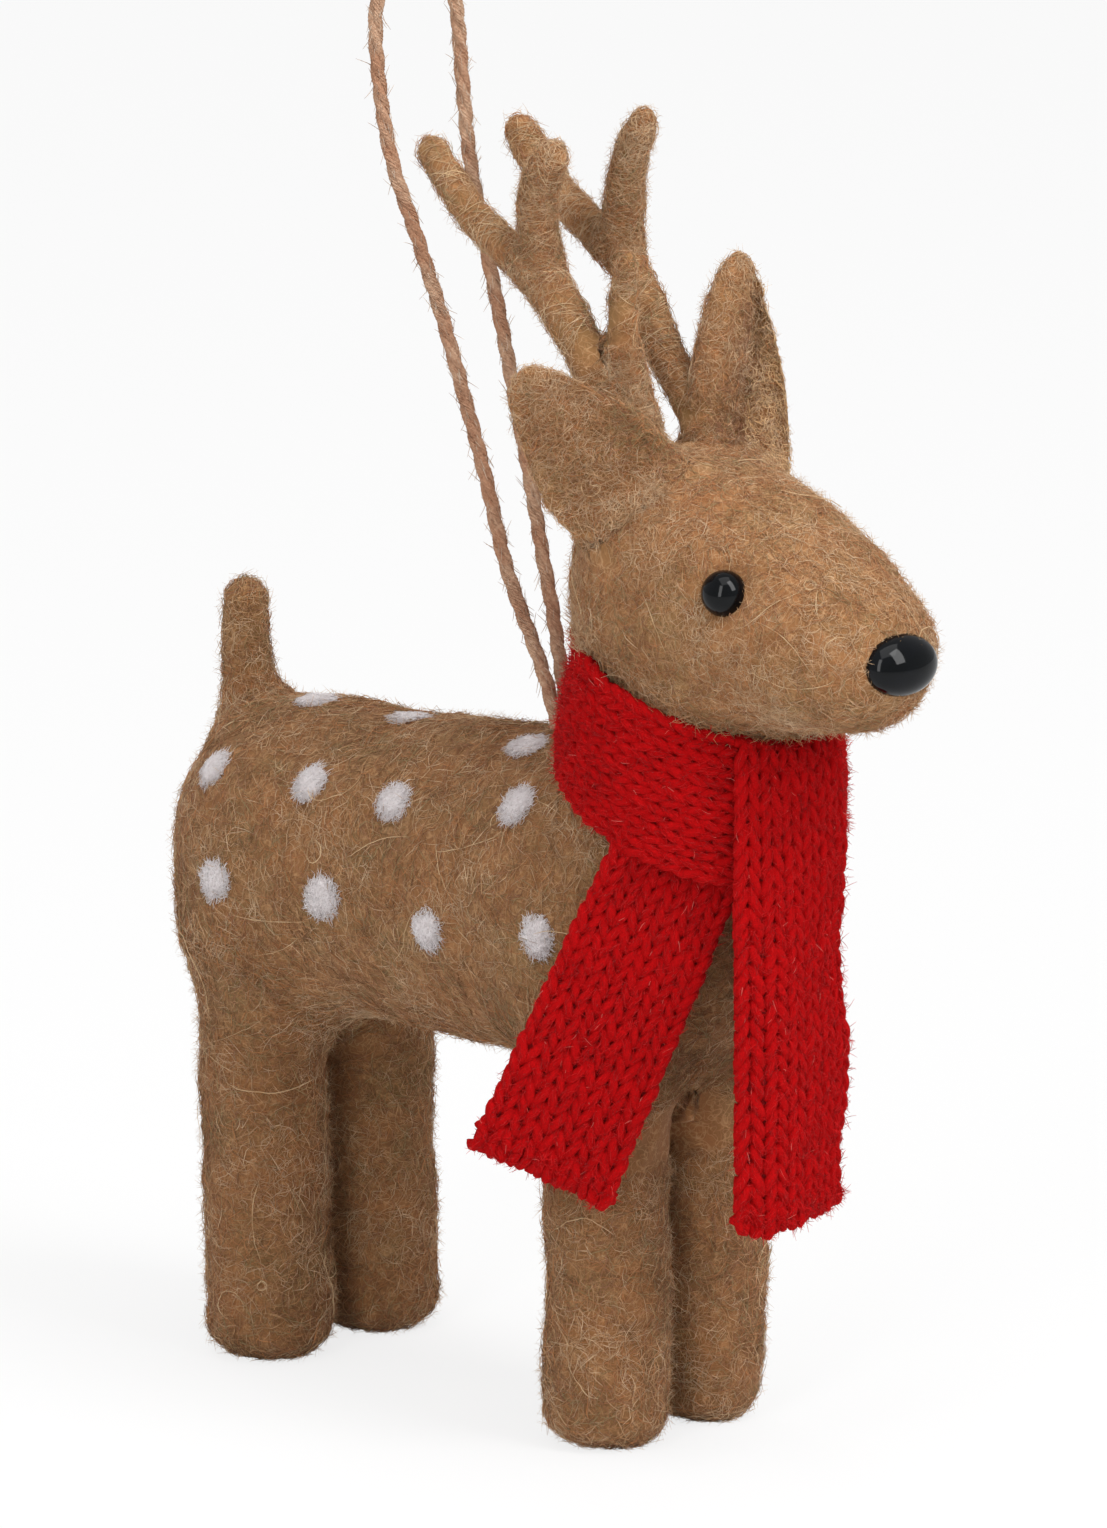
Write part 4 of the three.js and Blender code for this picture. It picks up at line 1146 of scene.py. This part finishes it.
def spotPiece(name, place, angle, wool):
    s = spotSizes
    rolls = dice(name)
    halfWidth = s["halfWidth"] * rolls.uniform(0.92, 1.06)
    halfLength = s["halfLength"] * rolls.uniform(0.76, 0.92)
    middle = body.point(place, math.radians(angle))
    seat, seatNormal = (found[0] for found in nearestOn(trees["torso"], middle[None]))
    first = unit(np.cross(seatNormal, [0.3, 0.2, 1.0] if abs(seatNormal[2]) < 0.8 else [0, 1.0, 0.3]))
    across = circling(first, np.cross(seatNormal, first), rolls.uniform(-0.5, 0.5))
    along = np.cross(seatNormal, across)

    def onTorso(reach, turn):
        places = middle + circling(across * halfWidth, along * halfLength, turn) * reach[..., None]
        spots, normals = nearestOn(trees["torso"], places.reshape(-1, 3))
        return spots.reshape(*reach.shape, 3), normals.reshape(*reach.shape, 3)

    sides, rings = 36, 8
    turn = evenTurns(sides)
    outline = 1
    for waves, depth in ((2, 0.16), (3, 0.1), (7, 0.05)):
        outline = outline + depth * np.cos(waves * turn + rolls.uniform(0, 6))
    share = np.linspace(0, 1, rings + 1)[1:, None]
    spots, normals = onTorso(s["pad"] * np.sin(share * math.pi / 2) * outline, turn)
    share = share[..., None]
    top = spots + normals * (s["height"] * (1 - share ** 4) - s["skin"] * share ** 4)
    under = spots - normals * (s["sink"] * (1 - share ** 2) + s["skin"])
    points, faceSets = closedRings(seat + seatNormal * s["height"], np.concatenate([top, under[-2::-1]]),
                                   seat - seatNormal * (s["sink"] + s["skin"]))
    # fibres that run over the patch and into the brown wool round it
    count = s["fibres"]
    reach, way = np.sqrt(rolls.random(count)) * s["reach"], rolls.uniform(0, 2 * math.pi, count)
    lines, facings = laid(outerSkin("torso"), *onTorso(reach, way), 1.0, 3, 2.8, rolls)
    grow = np.linspace(0, 1, 4)
    rise = s["height"] * np.clip(1 - reach ** 3, 0, 1)[:, None] * (1 - 0.5 * grow) + s["skin"]
    lines = lines + facings * (rise + 0.2 * rolls.random((count, 1)) * grow)[..., None]
    hairs, hairFaces = tubes(lines, np.array([0.026, 0.037, 0.032, 0.012]), 3, facings)
    faceSets = [*turnedOver(faceSets), *[faces + len(points) for faces in hairFaces]]
    piece = meshPiece(name + "_wool", np.vstack([points, hairs]), faceSets, [wool])
    settled(piece, "figure", "white_wool", name)


wool = woolLook()
for row, (angles, places) in spotRows.items():
    for i, (angle, place) in enumerate(zip(angles, places)):
        spotPiece(f"spot_{row}_{i + 1}", place, angle, wool)
report("white spots")

# Eyes and nose: glossy beads
beadLook = Look("blackBead", Specular_IOR_Level=0.21)
glass = beadLook.ramp(beadLook.noise(3, 2), (0.4, "#040608"), (0.6, "#090b0f"))
beadLook.feed("Base Color", glass)
beadLook.feed("Roughness", beadLook.noise(1.5, 3) * 0.08 + 0.04)
beadSizes = {"soft": 0.92, "flat": -0.93, "shankRadius": 0.7, "shankDepth": 5.5}
noseSizes = {"halfWidth": 4.6, "halfHeight": 3.3, "halfDepth": 2.8, "tilt": 22, "behind": 1.35, "aside": -0.3,
             "above": 1.1}


def beadPiece(name, middle, outward, across, halves):
    # a bead turned on its axis, with a flattened crown, a soft edge and a shank behind
    s = beadSizes
    wide, tall, deep = halves
    turn = np.linspace(0, math.pi, 25)[1:-1]
    turn = turn[np.cos(turn) >= s["flat"]]
    shank, depth = s["shankRadius"] / wide, s["shankDepth"] / deep
    radius = np.append(np.sin(turn) ** s["soft"], [shank, shank, shank * 0.7])
    height = np.append(np.cos(turn), [-0.97, 0.1 - depth, -depth])
    around = circling(across * wide, np.cross(outward, across) * tall, evenTurns(48))
    rings = middle + around * radius[:, None, None] + outward * (height * deep)[:, None, None]
    points, faceSets = closedRings(middle + outward * deep, rings, middle - outward * s["shankDepth"])
    settled(meshPiece(name + "_bead", points, turnedOver(faceSets), [beadLook]), "figure", "bead", name)


for side in bothSides:
    middle, outward = eyeSeat(side)
    beadPiece(f"eye_{side}", middle, outward, unit(np.cross([0, 0, 1], outward)), [eyeSizes["radius"]] * 3)
tilt = math.radians(noseSizes["tilt"])
noseOut = np.array([math.cos(tilt), 0, math.sin(tilt)])
noseMiddle = head.line.points[-1] + np.array([-noseSizes["behind"], noseSizes["aside"], noseSizes["above"]])
beadPiece("nose", noseMiddle, noseOut, np.array([0, 1.0, 0]),
          [noseSizes[half] for half in ("halfWidth", "halfHeight", "halfDepth")])
report("beads")

# Scarf: one knitted strip, wound round the neck, with a front and a side tail
yarnSizes = {"radius": 0.55, "wales": 6, "course": 1.95, "sway": 0.24, "rise": 0.89, "depth": 0.38,
             "steps": 24, "fibres": 520}


def wrapSurface(u, v):
    turn = math.radians(scarfSizes["wrapStart"]) + 2 * math.pi * v
    return wrapPoint(turn, 0.5 - u, scarfSizes["wrapRadius"] - scarfSizes["thickness"] / 2)


def crossingPoint(u, share):
    s = scarfSizes
    turn = math.radians(s["crossingTurn"]) + (u - 0.5) * (s["crossingWidth"] / s["wrapRadius"])
    return wrapPoint(turn, 0.5 - share, s["wrapRadius"] + s["thickness"] * 0.4)


def frontSurface(u, v):
    # over the wrap it follows the wrap's curve, and eases into a hanging strip with a fold down its length
    s = scarfSizes
    down = v * (s["wrapHeight"] + s["frontLength"])
    share = np.clip(down / s["wrapHeight"], 0, 1)
    below = np.maximum(down - s["wrapHeight"], 0)
    low = (down - s["wrapHeight"]) / s["frontLength"]
    over = crossingPoint(u, share) - np.array([0, 0, 1.0]) * below[..., None]
    spine = crossingPoint(np.full_like(u, 0.5), share)
    fold = s["foldShare"]
    ridge = np.where(u < fold, np.sin(u / fold * math.pi / 2), np.cos((u - fold) / (1 - fold) * math.pi / 2))
    longer = s["frontLonger"] * np.exp(-((u - 0.18) / 0.08) ** 2) - s["frontShorter"] * eased(0.35, 0.9, u)
    longer = longer * eased(0.8, 1, low)
    wave = s["edgeWave"] * np.cos(2 * math.pi * (down - s["waveStart"]) / s["wavePitch"]) * u ** 2
    beside = (u - 0.5) * s["width"] - s["frontAside"] + wave
    hanging = np.stack([spine[..., 0] + ridge * s["foldDepth"], beside, spine[..., 2] - below - longer], -1)
    return blended(over, hanging, eased(-0.4, 0.3, low)[..., None])


sideTurn, sideSlant, sideLean = (math.radians(scarfSizes[f"side{way}"]) for way in ("Turn", "Slant", "Lean"))
sideFacing = np.array([math.cos(sideTurn), math.sin(sideTurn), 0])
levelAcross = np.array([-sideFacing[1], sideFacing[0], 0])
sideDown = np.array([0, 0, -1.0]) * math.cos(sideSlant) - levelAcross * math.sin(sideSlant)
sideAcross = np.cross(sideDown, sideFacing)


def sideSurface(u, v):
    s = scarfSizes
    down = v * (s["sideLength"] + s["sideTuck"]) - s["sideTuck"]
    share = np.clip(down / s["sideLength"], 0, 1)
    width = s["width"] * blended(0.9, 1.03, share)
    wave = 0.5 * np.sin(share * math.pi * 1.5) * np.cos(u * math.pi)
    longer = s["sideLonger"] * (1 - np.abs(2 * u - 1) ** 3) + s["sideSkew"] * (1.5 - u)
    longer = longer * eased(0.6, 1, share)
    rim = neckMiddle + neckUp * (s["wrapRise"] - s["wrapHeight"] / 2)
    level = sideFacing * (s["wrapRadius"] - s["sideInside"]) - levelAcross * s["sideAside"]
    # its top hangs by the lower of its two corners under the wrap's slanting rim
    slope = sideAcross[0] * math.tan(wrapTilt) + sideAcross[2]
    height = rim[2] - level[0] * math.tan(wrapTilt) - 0.45 * s["width"] * abs(slope)
    top = np.array([rim[0] + level[0], level[1], height - s["sideDrop"]])
    return (top + sideAcross * ((u - 0.5) * width)[..., None] + sideDown * (down + longer)[..., None]
            + sideFacing * (wave - down * math.tan(sideLean))[..., None])


def facingOf(surface, u, v, flip):
    step = 0.004
    across = surface(u + step, v) - surface(u - step, v)
    down = surface(u, v + step) - surface(u, v - step)
    return unit(np.cross(down, across)) * flip


def clearOf(tree, points, room):
    # pushes points straight out of a form until they lie clear of it
    shape = points.shape
    points = points.reshape(-1, 3)
    gap, away = distanceTo(tree, points)
    return (points + away * np.maximum(room - gap, 0)[:, None]).reshape(shape)


def yarnLook():
    look = Look("redYarn", Roughness=0.9, Sheen_Weight=0.08, Sheen_Roughness=0.5,
                Sheen_Tint=colour("#ff3a30"), Specular_IOR_Level=0.08)
    fibres = look.noise(0.3, 4, 0.7, 1.5)
    shade = look.ramp(fibres, (0.3, "#930406"), (0.5, "#b4060a"), (0.7, "#c60d11"))
    look.feed("Base Color", shade)
    look.bump(look.noise(0.22, 3, 0.65, 1.5), 0.25, 0.9)
    return look


def yarnLines(surface, courses, flip, point, closed, rolls):
    # one line of yarn for each course, looping through the columns of stitches
    s = yarnSizes
    wales = s["wales"] + closed
    turn = np.linspace(0, 2 * math.pi * wales, wales * s["steps"] + 1)[None]
    row = np.arange(courses)[:, None]
    slack = rolls.uniform(-0.05, 0.05, (courses, 1)) + 0.05 * np.sin(turn * 0.37 + row * 1.7)
    uneven = np.interp(turn, turn[0, ::s["steps"] // 2], rolls.uniform(-1, 1, 2 * wales + 1))
    u = (turn / (2 * math.pi) + (s["sway"] + slack * 0.3) * np.sin(2 * turn)) / wales
    v = (row + 0.5 + s["rise"] * np.cos(turn) * point + slack + 0.05 * uneven) / courses
    if not closed:
        # the cut end is a crumpled hem of two more rows, and the first row is tucked in
        hem = 1 - np.array([[0.28], [-0.02]]) / courses * 2 + rolls.uniform(-0.2, 0.2, (2, 1)) / courses
        hem = hem + np.array([[0.3], [-0.35]]) / courses * np.sin(2.5 * turn + uneven)
        u = np.vstack([u, np.repeat(turn / (2 * math.pi * wales), 2, 0)])
        v = np.vstack([np.clip(v, 0.001, 1 - 0.15 / courses), hem])
        slack = np.vstack([slack, slack[:2]])
    facing = facingOf(surface, u, v, flip)
    lines = surface(u, v) + facing * (slack - s["depth"] * np.cos(2 * turn))[..., None]
    return clearOf(trees["head"], lines, s["radius"] + 0.1), facing, s["radius"] * (1 + 1.2 * slack)


def clothPiece(name, surface, rows, flip, closed, paintedShadeBacking):
    # the knit's mean surface, a thin sheet under the stitches, whose dark red is painted shade in the holes
    # between them
    columns = 18
    u, v = np.meshgrid(np.linspace(0.04, 0.96, columns + 1), np.linspace(0, 1, rows + 1))
    if not closed:
        v = 0.01 + v * 0.975
    facing = facingOf(surface, u, v, flip)
    middle = clearOf(trees["head"], surface(u, v), 0.3)
    points = np.concatenate([(middle + facing * lift).reshape(-1, 3) for lift in (0.1, -0.14)])
    index = np.arange((rows + 1) * (columns + 1)).reshape(rows + 1, columns + 1)
    a, b, c, d = (part.ravel() for part in (index[:-1, :-1], index[:-1, 1:], index[1:, 1:], index[1:, :-1]))
    rim = np.concatenate([index[0], index[1:, -1], index[-1, -2::-1], index[-2:0:-1, 0]])
    after = np.roll(rim, -1)
    quads = np.concatenate([np.stack([a, d, c, b], -1), np.stack([a, b, c, d], -1) + index.size,
                            np.stack([rim, after, after + index.size, rim + index.size], -1)])
    return meshPiece(f"{name}_cloth", points, [quads[:, ::flip]], [paintedShadeBacking])


def yarnFuzz(name, lines, facing, count, rolls):
    # soft fibres: most lie along the yarn, and some stand off it
    pick = rolls.integers(0, lines.shape[0], count), rolls.integers(2, lines.shape[1] - 2, count)
    along = unit(lines[pick[0], pick[1] + 1] - lines[pick[0], pick[1] - 1])
    out = unit(facing[pick] + np.cross(along, facing[pick]) * rolls.uniform(-1.3, 1.3, (count, 1)))
    start = lines[pick] + out * yarnSizes["radius"] * 0.93
    loose = (rolls.random((count, 1)) < 0.45) * rolls.uniform(0.2, 1.2, (count, 1))
    lean = along * rolls.choice([-1, 1], (count, 1)) + rolls.normal(size=(count, 3)) * 0.25
    lean = unit(lean + out * loose)
    share = np.linspace(0, 1, 4)[None, :, None]
    droop = (out * (0.25 - loose * 0.3))[:, None]
    bend = share ** 2 * (rolls.normal(size=(count, 1, 3)) * 0.2 - droop)
    hairs = start[:, None] + lean[:, None] * share * rolls.uniform(0.5, 1.3, (count, 1, 1)) + bend
    facings = np.broadcast_to(out[:, None], hairs.shape)
    tones = rolls.choice(3, count, p=(0.64, 0.35, 0.01))
    radii = np.array([0.026, 0.034, 0.029, 0.013])
    return tubePiece(f"{name}_fuzz", hairs, radii, 3, facings, redFuzz, tones)


def knitStrip(name, surface, length, flip, point, closed):
    rolls = dice(name)
    courses = round(length / yarnSizes["course"])
    lines, facing, radii = yarnLines(surface, courses, flip, point, closed, rolls)
    yarn = tubePiece(f"{name}_knit", lines, radii, 8, facing, [redYarn], lengthways=True)
    cloth = clothPiece(name, surface, courses * 2, flip, closed, paintedShadeBacking)
    return yarn, cloth, yarnFuzz(name, lines, facing, courses * yarnSizes["fibres"], rolls)


redYarn = yarnLook()
redFuzz = [fibreLook("redFibre", "#b6070a", "#cc1215"), fibreLook("deepRedFibre", "#960406", "#b1070a"),
           fibreLook("paleRedFibre", "#cc4a44", "#d87a70")]
# the sheet under the stitches is dark red: painted shade in the holes between them
paintedShadeReds = ("#6a0508", "#82080b", "#900a0e", "#9a0c11"), ("#6a0608", "#7e080b", "#8a0a0e")
paintedShadeBacking = feltLook("redShade", *paintedShadeReds)
wrapLength = 2 * math.pi * (scarfSizes["wrapRadius"] - scarfSizes["thickness"] / 2)
# for each strip its surface, length, side that faces out, way its stitches point, and whether it closes
strips = {
    "scarf_wrap": (wrapSurface, wrapLength, -1, 1, True),
    "scarf_front_tail": (frontSurface, scarfSizes["wrapHeight"] + scarfSizes["frontLength"], 1, -1, False),
    "scarf_side_tail": (sideSurface, scarfSizes["sideLength"] + scarfSizes["sideTuck"], -1, 1, False),
}
hinges = {"scarf_front_tail": "front_tail", "scarf_side_tail": "side_tail"}
for name, (surface, length, flip, point, closed) in strips.items():
    yarn, cloth, fuzz = knitStrip(name, surface, length, flip, point, closed)
    low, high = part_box(name)
    for piece in (yarn, cloth, fuzz):
        if name in hinges:
            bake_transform(piece)
        else:
            settled(piece, "figure", "knit")
    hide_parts(name)
    length * millimetre
    "hung" if name in hinges else "gathered"
report("scarf")

# The wires inside the antlers stay as the frame has them
wireLook = Look("galvanisedWire", Metallic=1.0, Roughness=0.4)
zinc = wireLook.ramp(wireLook.noise(1, 3), (0.4, "#7d7f82"), (0.6, "#9a9c9e"))
wireLook.feed("Base Color", zinc)
for side in bothSides:
    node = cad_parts[f"antler_wire_{side}"]
    node.data.materials.clear()
    node.data.materials.append(wireLook.material)

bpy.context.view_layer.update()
report("done")
